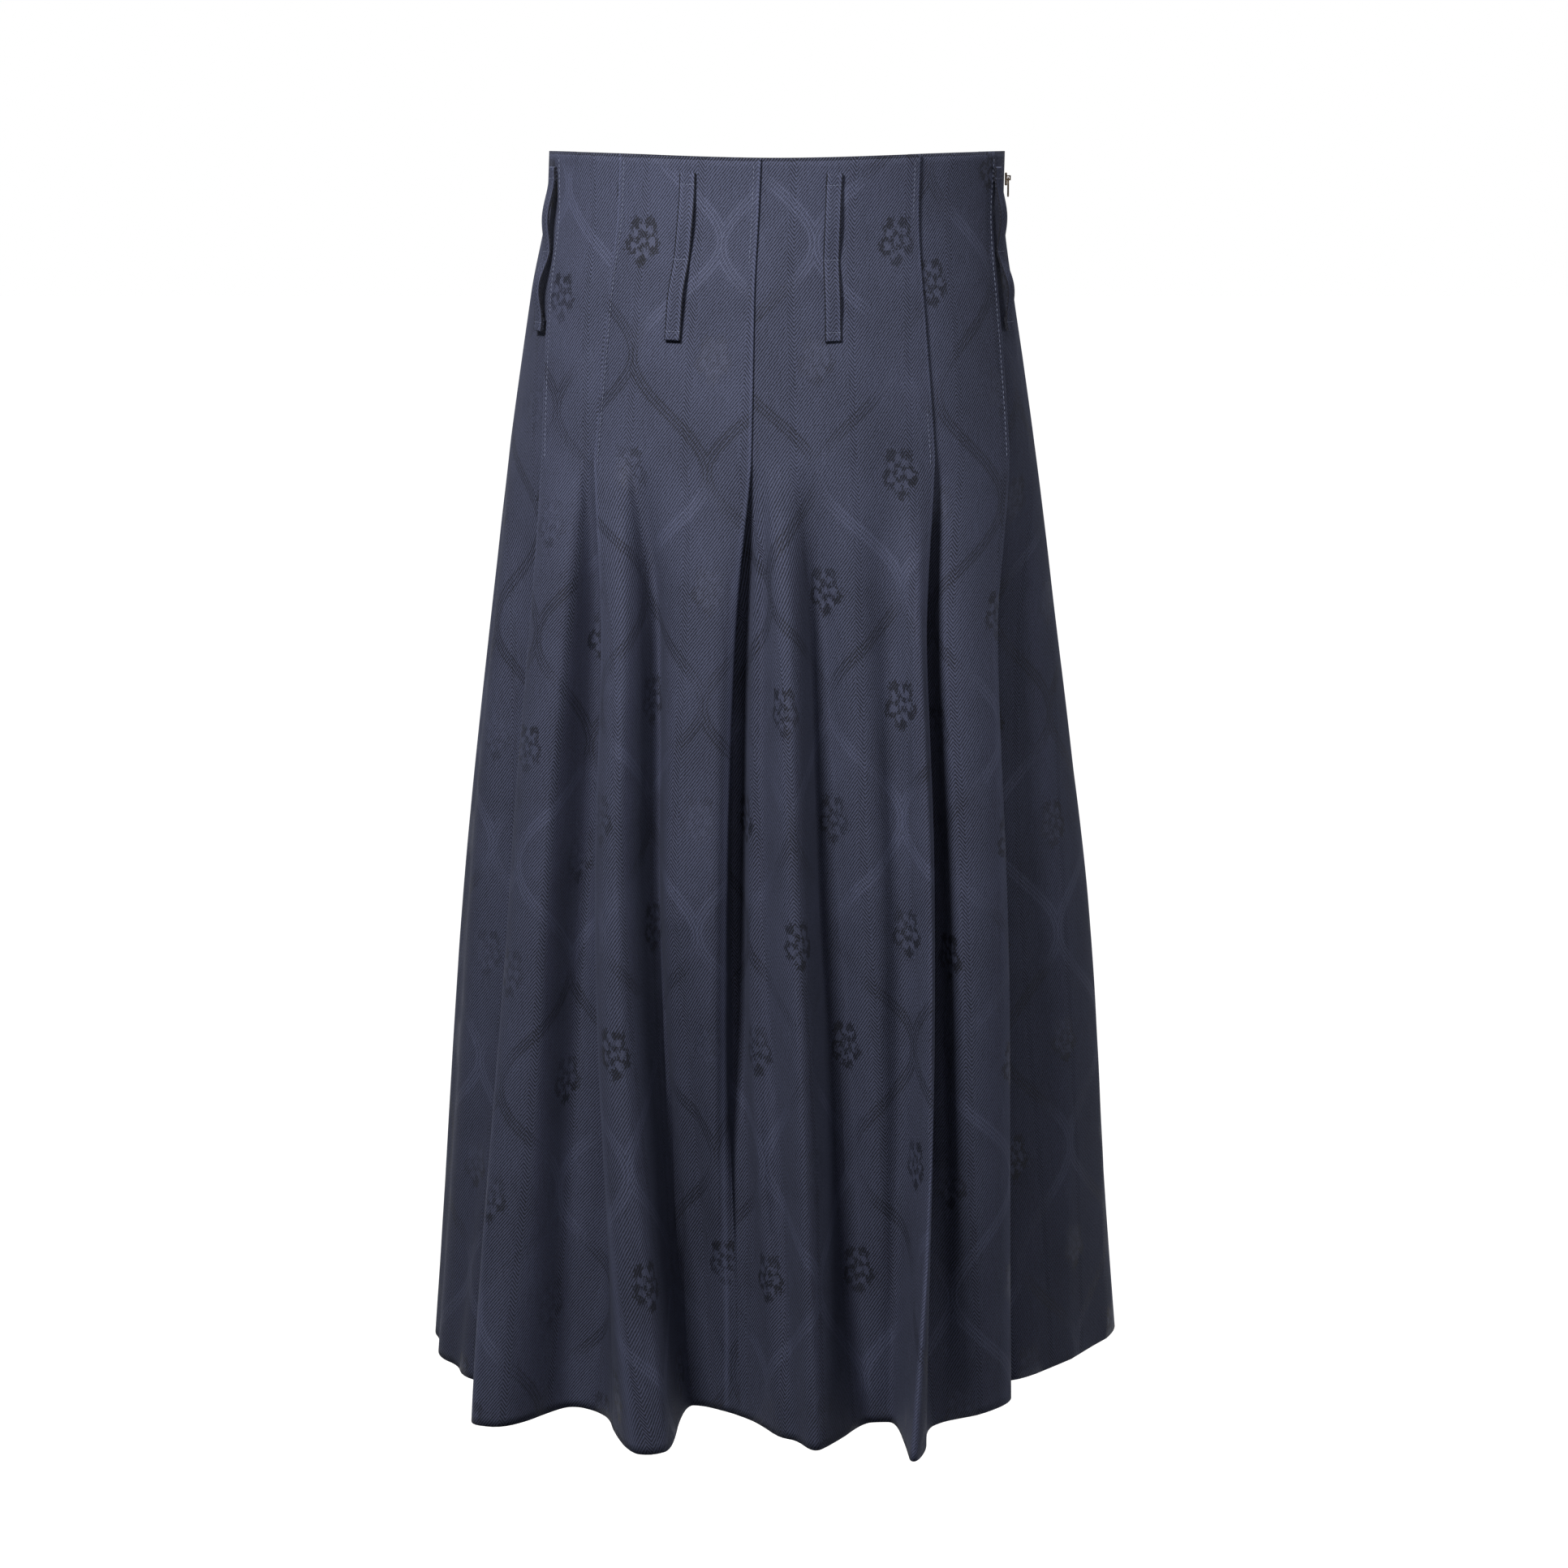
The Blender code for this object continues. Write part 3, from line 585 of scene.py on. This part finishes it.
def woven_flowers(tree, u, v, fray):
    """A frayed flower in each field of the trellis: shares of dull and of bright satin."""
    fields = []
    for shift_u, shift_v in ((0.0, 0.0), (TRELLIS_WIDTH / 2, TRELLIS_HEIGHT / 2)):
        du = wrapped(tree, u, shift_u, TRELLIS_WIDTH)
        dv = wrapped(tree, v, shift_v, TRELLIS_HEIGHT)
        slim = node(tree, "Math", (du, FLOWER_SLIM), operation="MULTIPLY")
        spot = node(tree, "CombineXYZ", (slim, dv, 0.0))
        fields.append((slim, dv, node(tree, "VectorMath", (spot,), out=1, operation="LENGTH")))
    first = node(tree, "Math", (fields[0][2], fields[1][2]), operation="LESS_THAN")
    du, dv, radius = [node(tree, "Mix", {0: first, 2: b, 3: a}, data_type="FLOAT")
                      for a, b in zip(*fields)]
    angle = node(tree, "Math", (dv, du), operation="ARCTAN2")
    reach = node(tree, "Math", (radius, 1 / FLOWER, -FLOWER_FRAY / 2), operation="MULTIPLY_ADD")
    reach = node(tree, "Math", (fray, FLOWER_FRAY, reach), operation="MULTIPLY_ADD")
    leaves = petal_ring(tree, angle, reach, 5, 0.3, 0.98, 0.30)
    petals = petal_ring(tree, angle, reach, 7, 0.1, 0.72, 0.26)
    inner = petal_ring(tree, angle, reach, 5, 0.6, 0.44, 0.12)
    heart = petal_ring(tree, angle, reach, 3, 0.2, 0.22, 0.08)
    shares = [node(tree, "MapRange", {"Value": ring, "From Min": 0.0, "From Max": 0.07})
              for ring in (leaves, petals, inner, heart)]
    ring = node(tree, "Math", (shares[1], shares[2]), operation="SUBTRACT", use_clamp=True)
    return shares[0], node(tree, "Math", (ring, shares[3]), operation="ADD", use_clamp=True)


def navy_twill(name, start=(0, 0), lean=1.0, patterned=True):
    """Heavy worsted wool twill, piece-dyed navy: matt, with fine diagonal ribs that show as
    light and dark lines, narrow herringbone stripes, and a tone-on-tone pattern woven in
    satin, smoother than the ground and darker or lighter than it, as its yarns lie. start
    is where the pattern begins, in mm; lean is -1 where the ribs run up to the left."""
    material, tree, surface = new_material(name)
    cut = node(tree, "UVMap", out=0, uv_map="cut_cloth")
    split = tree.nodes.new("ShaderNodeSeparateXYZ")
    tree.links.new(cut, split.inputs[0])
    u, v = split.outputs[0], split.outputs[1]
    # the ribs run up to the right and turn back in the herringbone stripes
    stripe_place = wrapped(tree, u, start[0] * MM, STRIPE_PITCH)
    stripe_place = node(tree, "Math", (stripe_place,), operation="ABSOLUTE")
    stripe = node(tree, "Math", (stripe_place, STRIPE_WIDTH / 2), operation="LESS_THAN")
    way = node(tree, "Math", (stripe, 2 * lean * TWILL_RISE, -lean * TWILL_RISE),
               operation="MULTIPLY_ADD")
    rib_place = node(tree, "Math", (v, way, u), operation="MULTIPLY_ADD")
    rib_run = TWILL_PITCH * math.hypot(1, TWILL_RISE)
    rib_turn = node(tree, "Math", (rib_place, 2 * math.pi / rib_run), operation="MULTIPLY")
    wander = node(tree, "TexNoise", {"Vector": cut, "Scale": RIB_WANDERS, "Detail": 2.0}, out=0)
    rib_turn = node(tree, "Math", (wander, 2.6, rib_turn), operation="MULTIPLY_ADD")
    rib = node(tree, "Math", (rib_turn,), operation="SINE")
    rib = node(tree, "Math", (rib, 0.5, 0.5), operation="MULTIPLY_ADD")
    # uneven yarns: streaks down the warp, flecks of the fibre, and a cloudy dye
    yarn_place = node(tree, "Mapping", {"Vector": cut, "Scale": (1 / YARN_PITCH, YARN_STREAKS, 1.0)})
    yarn = node(tree, "TexNoise", {"Vector": yarn_place, "Scale": 1.0, "Detail": 2.0}, out=0)
    grain = node(tree, "TexNoise", {"Vector": cut, "Scale": FIBRE_FLECKS, "Detail": 3.0}, out=0)
    cloudy = node(tree, "TexNoise", {"Vector": cut, "Scale": DYE_CLOUDS, "Detail": 4.0}, out=0)
    light = node(tree, "Math", (rib, RIB_TONE, GROUND_TONE), operation="MULTIPLY_ADD")
    light = node(tree, "Math", (grain, FLECK_TONE, light), operation="MULTIPLY_ADD")
    light = node(tree, "Math", (yarn, YARN_TONE, light), operation="MULTIPLY_ADD")
    light = node(tree, "Math", (cloudy, CLOUD_TONE, light), operation="MULTIPLY_ADD")
    light = node(tree, "Math", (stripe, STRIPE_TONE, light), operation="MULTIPLY_ADD",
                 use_clamp=True)
    # painted highlight: a pleat's pressed fold is painted paler, where its sharp edge would catch
    # the light
    wear_and_highlight = node(tree, "Attribute", out=2, attribute_name="pressed_edge_highlight")
    light = node(tree, "Math", (wear_and_highlight, PRESSED_EDGE_HIGHLIGHT_TONE, light), operation="MULTIPLY_ADD",
                 use_clamp=True)
    height = rib
    if patterned:
        # the turned waist edge lies in its own shade
        turned_top = node(tree, "Math", (v, -TURNED_TOP), operation="GREATER_THAN")
        light = node(tree, "Math", (turned_top, TURNED_TOP_TONE, light),
                     operation="MULTIPLY_ADD", use_clamp=True)
        moved_u = node(tree, "Math", (u, start[0] * MM), operation="ADD")
        moved_v = node(tree, "Math", (v, start[1] * MM), operation="ADD")
        # the jacquard's steps make every curve a little ragged
        step_place = node(tree, "Mapping", {"Vector": cut, "Scale": JACQUARD_STEPS})
        ragged = node(tree, "TexNoise", {"Vector": step_place, "Scale": 1.0, "Detail": 1.0}, out=0)
        float_place = node(tree, "Mapping", {"Vector": cut, "Scale": FLOAT_STEPS})
        fray = node(tree, "TexNoise", {"Vector": float_place, "Scale": 1.0, "Detail": 2.0,
                                       "Roughness": 0.7}, out=0)
        dull, bright = woven_flowers(tree, moved_u, moved_v, fray)
        moved_u = node(tree, "Math", (ragged, 1.2 * MM, moved_u), operation="MULTIPLY_ADD")
        bands = trellis_bands(tree, moved_u, moved_v)
        # bands show darker in one part of the cloth and lighter in another
        turned = node(tree, "TexNoise", {"Vector": cut, "Scale": 9.0, "Detail": 1.0}, out=0)
        band_tone = node(tree, "MapRange", {"Value": turned, "From Min": 0.42, "From Max": 0.58,
                                            "To Min": -0.32, "To Max": 0.24})
        light = node(tree, "Math", (bands, band_tone, light), operation="MULTIPLY_ADD",
                     use_clamp=True)
        # the flowers are all darker, with paler floats inside, and some hardly show
        clear = node(tree, "TexNoise", {"Vector": cut, "Scale": 12.0, "Detail": 0.0}, out=0)
        flower_tone = node(tree, "MapRange", {"Value": clear, "From Min": 0.38, "From Max": 0.60,
                                              "To Min": -0.06, "To Max": -0.46})
        float_tone = node(tree, "Math", (flower_tone, -0.85, 0.04), operation="MULTIPLY_ADD")
        light = node(tree, "Math", (dull, flower_tone, light), operation="MULTIPLY_ADD",
                     use_clamp=True)
        light = node(tree, "Math", (bright, float_tone, light), operation="MULTIPLY_ADD",
                     use_clamp=True)
        satin = node(tree, "Math", (bands, dull), operation="MAXIMUM")
        rough = node(tree, "Math", (satin, -0.14, 0.82), operation="MULTIPLY_ADD")
        tree.links.new(rough, surface.inputs["Roughness"])
        plain = node(tree, "Math", (satin, -0.7, 1.0), operation="MULTIPLY_ADD")
        height = node(tree, "Math", (rib, plain), operation="MULTIPLY")
    else:
        # painted highlight and shade: a strip has a paler line along each rolled edge, where it
        # would catch the light, and its sides are painted darker, as they lie in their own shade
        side = node(tree, "Math", (u,), operation="ABSOLUTE")
        rolled_edge_highlight = node(tree, "MapRange", {"Value": side, "From Min": 2.6 * MM, "From Max": 3.8 * MM,
                                       "To Min": 0.0, "To Max": 0.14})
        shade = node(tree, "MapRange", {"Value": side, "From Min": 4.1 * MM, "From Max": 4.6 * MM,
                                        "To Min": 0.0, "To Max": -0.75})
        light = node(tree, "Math", (light, rolled_edge_highlight), operation="ADD")
        light = node(tree, "Math", (light, shade), operation="ADD", use_clamp=True)
        surface.inputs["Roughness"].default_value = 0.82
    colour = node(tree, "Mix", {0: light, 6: linear(CLOTH_DARK), 7: linear(CLOTH_PALE)},
                  out=2, data_type="RGBA")
    height = node(tree, "Math", (grain, 0.5, height), operation="MULTIPLY_ADD")
    bump = node(tree, "Bump", {"Strength": 0.6, "Distance": 0.00025, "Height": height})
    tree.links.new(colour, surface.inputs["Base Color"])
    tree.links.new(bump, surface.inputs["Normal"])
    surface.inputs["Specular IOR Level"].default_value = 0.15
    surface.inputs["Sheen Weight"].default_value = 0.03
    surface.inputs["Sheen Roughness"].default_value = 0.5
    surface.inputs["Sheen Tint"].default_value = linear("#a9b4d6")
    return material


def sewing_thread():
    """Spun polyester sewing thread, dyed to the cloth: a little lighter and smoother."""
    material, tree, surface = new_material("spun_polyester_thread")
    place = node(tree, "TexCoord", out=3)
    fleck = node(tree, "TexNoise", {"Vector": place, "Scale": 900.0, "Detail": 1.0}, out=0)
    colour = node(tree, "Mix", {0: fleck, 6: linear("#3a4053"), 7: linear("#727b96")},
                  out=2, data_type="RGBA")
    tree.links.new(colour, surface.inputs["Base Color"])
    surface.inputs["Roughness"].default_value = 0.6
    return material


def antique_brass():
    """Zinc zip slider plated in antique brass: dark brown, rubbed bright on its high spots."""
    material, tree, surface = new_material("antique_brass_plate")
    place = node(tree, "TexCoord", out=3)
    wear_and_highlight = node(tree, "TexNoise", {"Vector": place, "Scale": 700.0, "Detail": 4.0}, out=0)
    patch = node(tree, "MapRange", {"Value": wear_and_highlight, "From Min": 0.52, "From Max": 0.66})
    colour = node(tree, "Mix", {0: patch, 6: linear("#4a3a2e"), 7: linear("#9a8468")},
                  out=2, data_type="RGBA")
    tree.links.new(colour, surface.inputs["Base Color"])
    surface.inputs["Metallic"].default_value = 1.0
    surface.inputs["Roughness"].default_value = 0.34
    return material


# --------------------------------------------------------------------------- the gores
def pressed_share(rows, place):
    """1 in the middle of a pleat's outer fold, 0 from its ends on."""
    if place[0] != "bend" or rows[place[1]][0] != "edge":
        return 0.0
    return 1 - abs(2 * place[2] - 1)


def build_gores(rows):
    pieces = {}
    row_count = round(-HEM / ROW_STEP)
    sections = [Section(rows, HEM * k / row_count) for k in range(row_count + 1)]
    for (node_name, start_u, start_v), columns in zip(GORES, gore_columns(rows)):
        points = cloth_grid(sections, columns)
        anchor = len(columns) // 2
        across, down = flat_measure(points, anchor)
        cloth = navy_twill("navy_wool_twill_" + node_name, (start_u, start_v))
        # where the painted highlight along pressed folds goes, column by column
        pressed = [pressed_share(rows, place) for place in columns]
        piece = grid_sheet(node_name + "_cloth", points, np.dstack((across, down)), cloth, pressed)
        give_wall(piece, WALL)
        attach(piece, "skirt")
        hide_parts(node_name)
        width = float((across.max(axis=1) - across.min(axis=1)).max())
        length = float(-down.min())
        pieces[node_name] = (piece, width, length, grid_area(points))
    names = [name for name, _, _ in GORES]
    for k, name in enumerate(names):
        piece, width, length, area = pieces[name]


# --------------------------------------------------------------------------- sewing
STITCH_PITCH = 3.2 * MM
STITCH_LENGTH = 2.3 * MM
THREAD = 0.42 * MM         # how thick it is
THREAD_LIFT = 0.12 * MM    # its middle over the cloth's face
EDGE_STITCH_IN = 3.7 * MM  # from the pleat's fold
FIRST_STITCH = -0.004      # height of the first one


def thread_stitches(name, places, material):
    """Short sewn stitches: each place is its middle, its direction and the way out."""
    bm = bmesh.new()
    for middle, ahead, out, length in places:
        ahead, out = Vector(ahead).normalized(), Vector(out).normalized()
        side = out.cross(ahead).normalized()
        out = ahead.cross(side)
        turn = Matrix((ahead, side, out)).transposed().to_4x4()
        size = Matrix.Diagonal((length / 2, THREAD / 2, THREAD / 2, 1.0))
        bmesh.ops.create_uvsphere(bm, u_segments=8, v_segments=6, radius=1.0,
                                  matrix=Matrix.Translation(middle) @ turn @ size)
    piece = link_piece(name, bm, material, 80)
    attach(piece, "skirt")
    return piece


def edge_stitching(rows, thread):
    """Stitch rows that hold each pleat down, on its upper layer beside the fold."""
    count = int(-RELEASE / STITCH_PITCH) - 1
    for i, row in enumerate(rows):
        if row[0] != "edge":
            continue
        behind = rows[(i + 1) % len(rows)][0] == "tuck"
        leg = (i - 1) % len(rows) if behind else i
        line = []
        for k in range(count + 2):
            section = Section(rows, FIRST_STITCH - k * STITCH_PITCH)
            share = EDGE_STITCH_IN / section.lengths[leg]
            deg, out = section.turns[leg]
            next_deg, next_out = section.turns[(leg + 1) % section.count]
            f = 1 - share if behind else share
            deg += f * (next_deg - deg)
            out += f * (next_out - out)
            here = cloth_point(deg, out, section.z)
            line.append((here, cloth_point(deg, out + MM, section.z)))
        places = []
        for (here, above), (after, _) in zip(line, line[1:]):
            out = above - here
            out /= np.linalg.norm(out)
            middle = (here + after) / 2 + out * (WALL / 2 + THREAD_LIFT)
            places.append((middle, after - here, out, STITCH_LENGTH))
        pleat = FOLDS[i % len(FOLDS)][0]
        side = "front" if i < len(FOLDS) else "back"
        thread_stitches(f"edge_stitching_{side}_{pleat}", places, thread)


# --------------------------------------------------------------------------- belt loops
LOOP_WIDTH = 10 * MM
LOOP_CLOTH = 0.95 * MM     # the strip is a folded bias of the same cloth
LOOP_TOP = -0.0105
LOOP_BOTTOM = -0.111
LOOP_TACKS = (0.06, 0.52, 0.95)        # sewn down at these shares of its length
LOOP_TURNED = 8 * MM       # turned under at each end
LOOP_SEAT = 0.15 * MM      # between the strip and the gore below it
LOOP_CROWN = 0.35 * MM     # its middle stands this much over its edges
LOOP_EDGE_ROUND = 0.28 * MM
TACK_PULL = 0.22 * MM      # how far a sewn row dents the strip
TACK_DENT = 0.012          # and over which share of its length
MIDDLE_PULL = 0.6 * MM     # the middle tack also draws the strip in, more gently
MIDDLE_DENT = 0.09
TACK_STITCHES = 5          # side by side in one row
TACK_LENGTH = 1.7 * MM
TACK_LIFT = 0.1 * MM       # their middle over the strip's face

# mesh rows along a strip
TURN_ROWS = 6              # in a turned end, and round its fold
FACE_ROWS = 64
FACE_START = 2 * TURN_ROWS - 1
ACROSS_STEPS = 8

# name, top_deg, bottom_deg, layer, bow (mm), sway (mm sideways between the tacks), below
LOOPS = (
    ("belt_loop_front_right", -21.5, -22.2, 1.0, 1.5, 0.6, "front_centre_right"),
    ("belt_loop_front_left", 14.1, 13.5, 0.3, 1.5, -0.4, "front_centre_left"),
    ("belt_loop_side_left", 70.5, 70.0, 1.0, 3.5, 0.9, "front_side_left"),
    ("belt_loop_back_left", 158.5, 157.8, 1.0, 1.5, -0.5, "back_centre_left"),
    ("belt_loop_back_right", 194.1, 193.5, 0.3, 1.5, 0.5, "back_centre_right"),
    ("belt_loop_side_right", 288.0, 293.0, 1.0, 3.5, -0.8, "back_side_right"),
)


def loop_profile(bow):
    """The strip's run down the cloth: (height, lift of its middle off the cloth), turned
    under at both ends."""
    low = LOOP_CLOTH / 2 + LOOP_SEAT
    high = low + 1.05 * LOOP_CLOTH
    half = (high - low) / 2
    run = []
    for k in range(TURN_ROWS):
        run.append((LOOP_TOP - LOOP_TURNED * (1 - k / TURN_ROWS), low))
    for k in range(1, TURN_ROWS):
        turn = math.pi * k / TURN_ROWS
        run.append((LOOP_TOP + half * math.sin(turn), low + half - half * math.cos(turn)))
    for k in range(FACE_ROWS + 1):
        share = k / FACE_ROWS
        lift = 0.0
        for start, end in zip(LOOP_TACKS, LOOP_TACKS[1:]):
            if start < share < end:
                lift = bow * MM * math.sin(math.pi * (share - start) / (end - start)) ** 2
        pull = sum(math.exp(-((share - tack) / TACK_DENT) ** 2) for tack in LOOP_TACKS)
        middle_pull = math.exp(-((share - LOOP_TACKS[1]) / MIDDLE_DENT) ** 2)
        lift -= TACK_PULL * pull + MIDDLE_PULL * middle_pull
        run.append((LOOP_TOP + (LOOP_BOTTOM - LOOP_TOP) * share, high + lift))
    for k in range(1, TURN_ROWS):
        turn = math.pi * k / TURN_ROWS
        run.append((LOOP_BOTTOM - half * math.sin(turn), high - half + half * math.cos(turn)))
    for k in range(1, TURN_ROWS + 1):
        run.append((LOOP_BOTTOM + LOOP_TURNED * k / TURN_ROWS, low))
    return run


def build_loops(thread):
    cloth = navy_twill("navy_wool_twill_loops", lean=-1.0, patterned=False)
    for name, top_deg, bottom_deg, layer, bow, sway, below in LOOPS:
        seat = layer * LAYER + WALL / 2
        run = loop_profile(bow)
        points, tack_places = [], []

        def strip_row(z, lift, crown):
            share = (z - LOOP_TOP) / (LOOP_BOTTOM - LOOP_TOP)
            deg = top_deg + (bottom_deg - top_deg) * share
            middle = cloth_point(deg, seat + lift, z)
            ahead = cloth_point(deg + 0.5, seat + lift, z)
            ahead = ahead - cloth_point(deg - 0.5, seat + lift, z)
            ahead /= np.linalg.norm(ahead)
            out = cloth_point(deg, seat + lift + MM, z) - middle
            out /= np.linalg.norm(out)
            middle = middle + ahead * sway * MM * math.sin(math.pi * 1.5 * share)
            row = []
            for k in range(ACROSS_STEPS + 1):
                off = 2 * k / ACROSS_STEPS - 1
                rise = crown * (1 - off * off) * LOOP_CROWN
                row.append(middle + ahead * off * LOOP_WIDTH / 2 + out * rise)
            return row, ahead, out

        for k, (z, lift) in enumerate(run):
            on_top = FACE_START <= k <= FACE_START + FACE_ROWS
            points.append(strip_row(z, lift, 1.0 if on_top else 0.0)[0])
        points = np.array(points)
        across, down = flat_measure(points, ACROSS_STEPS // 2)
        piece = grid_sheet(name + "_strip", points, np.dstack((across, down)), cloth)
        give_wall(piece, LOOP_CLOTH, LOOP_EDGE_ROUND)
        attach(piece, "skirt")
        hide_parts(name)
        for share in LOOP_TACKS:
            z, lift = run[FACE_START + round(share * FACE_ROWS)]
            row, ahead, out = strip_row(z, lift, 1.0)
            for j in range(TACK_STITCHES):
                off = (2 * j + 1) / TACK_STITCHES - 1
                rise = (1 - off * off) * LOOP_CROWN + LOOP_CLOTH / 2 + TACK_LIFT
                middle = row[ACROSS_STEPS // 2] - out * LOOP_CROWN
                middle = middle + ahead * off * LOOP_WIDTH / 2 + out * rise
                tack_places.append((middle, ahead, out, TACK_LENGTH))
        thread_stitches(name + "_tacks", tack_places, thread)


# --------------------------------------------------------------------------- zip
def finish_zip():
    metal = antique_brass()
    for name in ("side_zip_slider", "side_zip_pull"):
        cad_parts[name].data.materials.clear()
        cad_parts[name].data.materials.append(metal)


# --------------------------------------------------------------------------- studio
CAMERA_BACK = 2.3          # metres in front of the waist's middle
CAMERA_ASIDE = 0.0045
CAMERA_DOWN = 10.152       # degrees
CAMERA_LENS = 81.17
FLOOR_Z = -1.30            # so far down that no shadow shows in the picture
WORLD_ON_CLOTH = 0.03      # the white ground lights the cloth only faintly
BACK_LIGHT = 3.9           # from high behind, to keep the paper floor white
SOFTBOX_WHITE = "#fffaf4"

# name, place, aim, side of the square, watts
SOFTBOXES = (
    ("key softbox", (-0.46, -0.92, 0.62), (0.0, 0.0, -0.25), 0.25, 24.0),
    ("front softbox", (0.15, -1.05, 0.70), (0.0, 0.0, -0.2), 0.4, 3.8),
    ("right softbox", (1.25, -0.45, -0.05), (0.15, 0.0, -0.5), 0.3, 3.5),
)


def add_softbox(name, place, aim, side, watts):
    light = bpy.data.lights.new(name, "AREA")
    light.shape = "RECTANGLE"
    light.size = light.size_y = side
    light.energy = watts
    light.color = linear(SOFTBOX_WHITE)[:3]
    lamp = bpy.data.objects.new(name, light)
    lamp.location = place
    lamp.rotation_euler = (Vector(aim) - Vector(place)).to_track_quat("-Z", "Y").to_euler()
    bpy.context.scene.collection.objects.link(lamp)


def build_studio():
    scene = bpy.context.scene
    camera_data = bpy.data.cameras.new("camera")
    camera_data.lens = CAMERA_LENS
    camera_data.sensor_width = 36.0
    camera = bpy.data.objects.new("camera", camera_data)
    camera.location = (CAMERA_ASIDE, -CAMERA_BACK, 0.0)
    camera.rotation_euler = (math.radians(90 - CAMERA_DOWN), 0.0, 0.0)
    scene.collection.objects.link(camera)
    scene.camera = camera

    bm = bmesh.new()
    bmesh.ops.create_grid(bm, x_segments=1, y_segments=1, size=30.0)
    for vert in bm.verts:
        vert.co.z = FLOOR_Z
    paper, _, surface = new_material("white_paper_floor")
    surface.inputs["Base Color"].default_value = linear("#f6f6f6")
    surface.inputs["Roughness"].default_value = 0.9
    floor = link_piece("floor", bm, paper)
    floor.visible_diffuse = False      # it throws no light up into the folds

    world = bpy.data.worlds.new("studio")
    world.use_nodes = True
    scene.world = world
    tree = world.node_tree
    seen = node(tree, "LightPath", out=0)
    strength = node(tree, "Mix", {0: seen, 2: WORLD_ON_CLOTH, 3: 1.0}, data_type="FLOAT")
    tree.links.new(strength, tree.nodes["Background"].inputs["Strength"])
    tree.nodes["Background"].inputs["Color"].default_value = (1.0, 1.0, 1.0, 1.0)

    sun = bpy.data.lights.new("high_back_light", "SUN")
    sun.energy = BACK_LIGHT
    sun.angle = math.radians(20)
    lamp = bpy.data.objects.new("high_back_light", sun)
    lamp.rotation_euler = (math.radians(-26), 0.0, 0.0)
    scene.collection.objects.link(lamp)
    for row in SOFTBOXES:
        add_softbox(*row)
    scene.view_settings.view_transform = "Standard"


# --------------------------------------------------------------------------- the skirt
fold_lines = fold_rows()
thread_material = sewing_thread()
build_gores(fold_lines)
edge_stitching(fold_lines, thread_material)
build_loops(thread_material)
finish_zip()
build_studio()
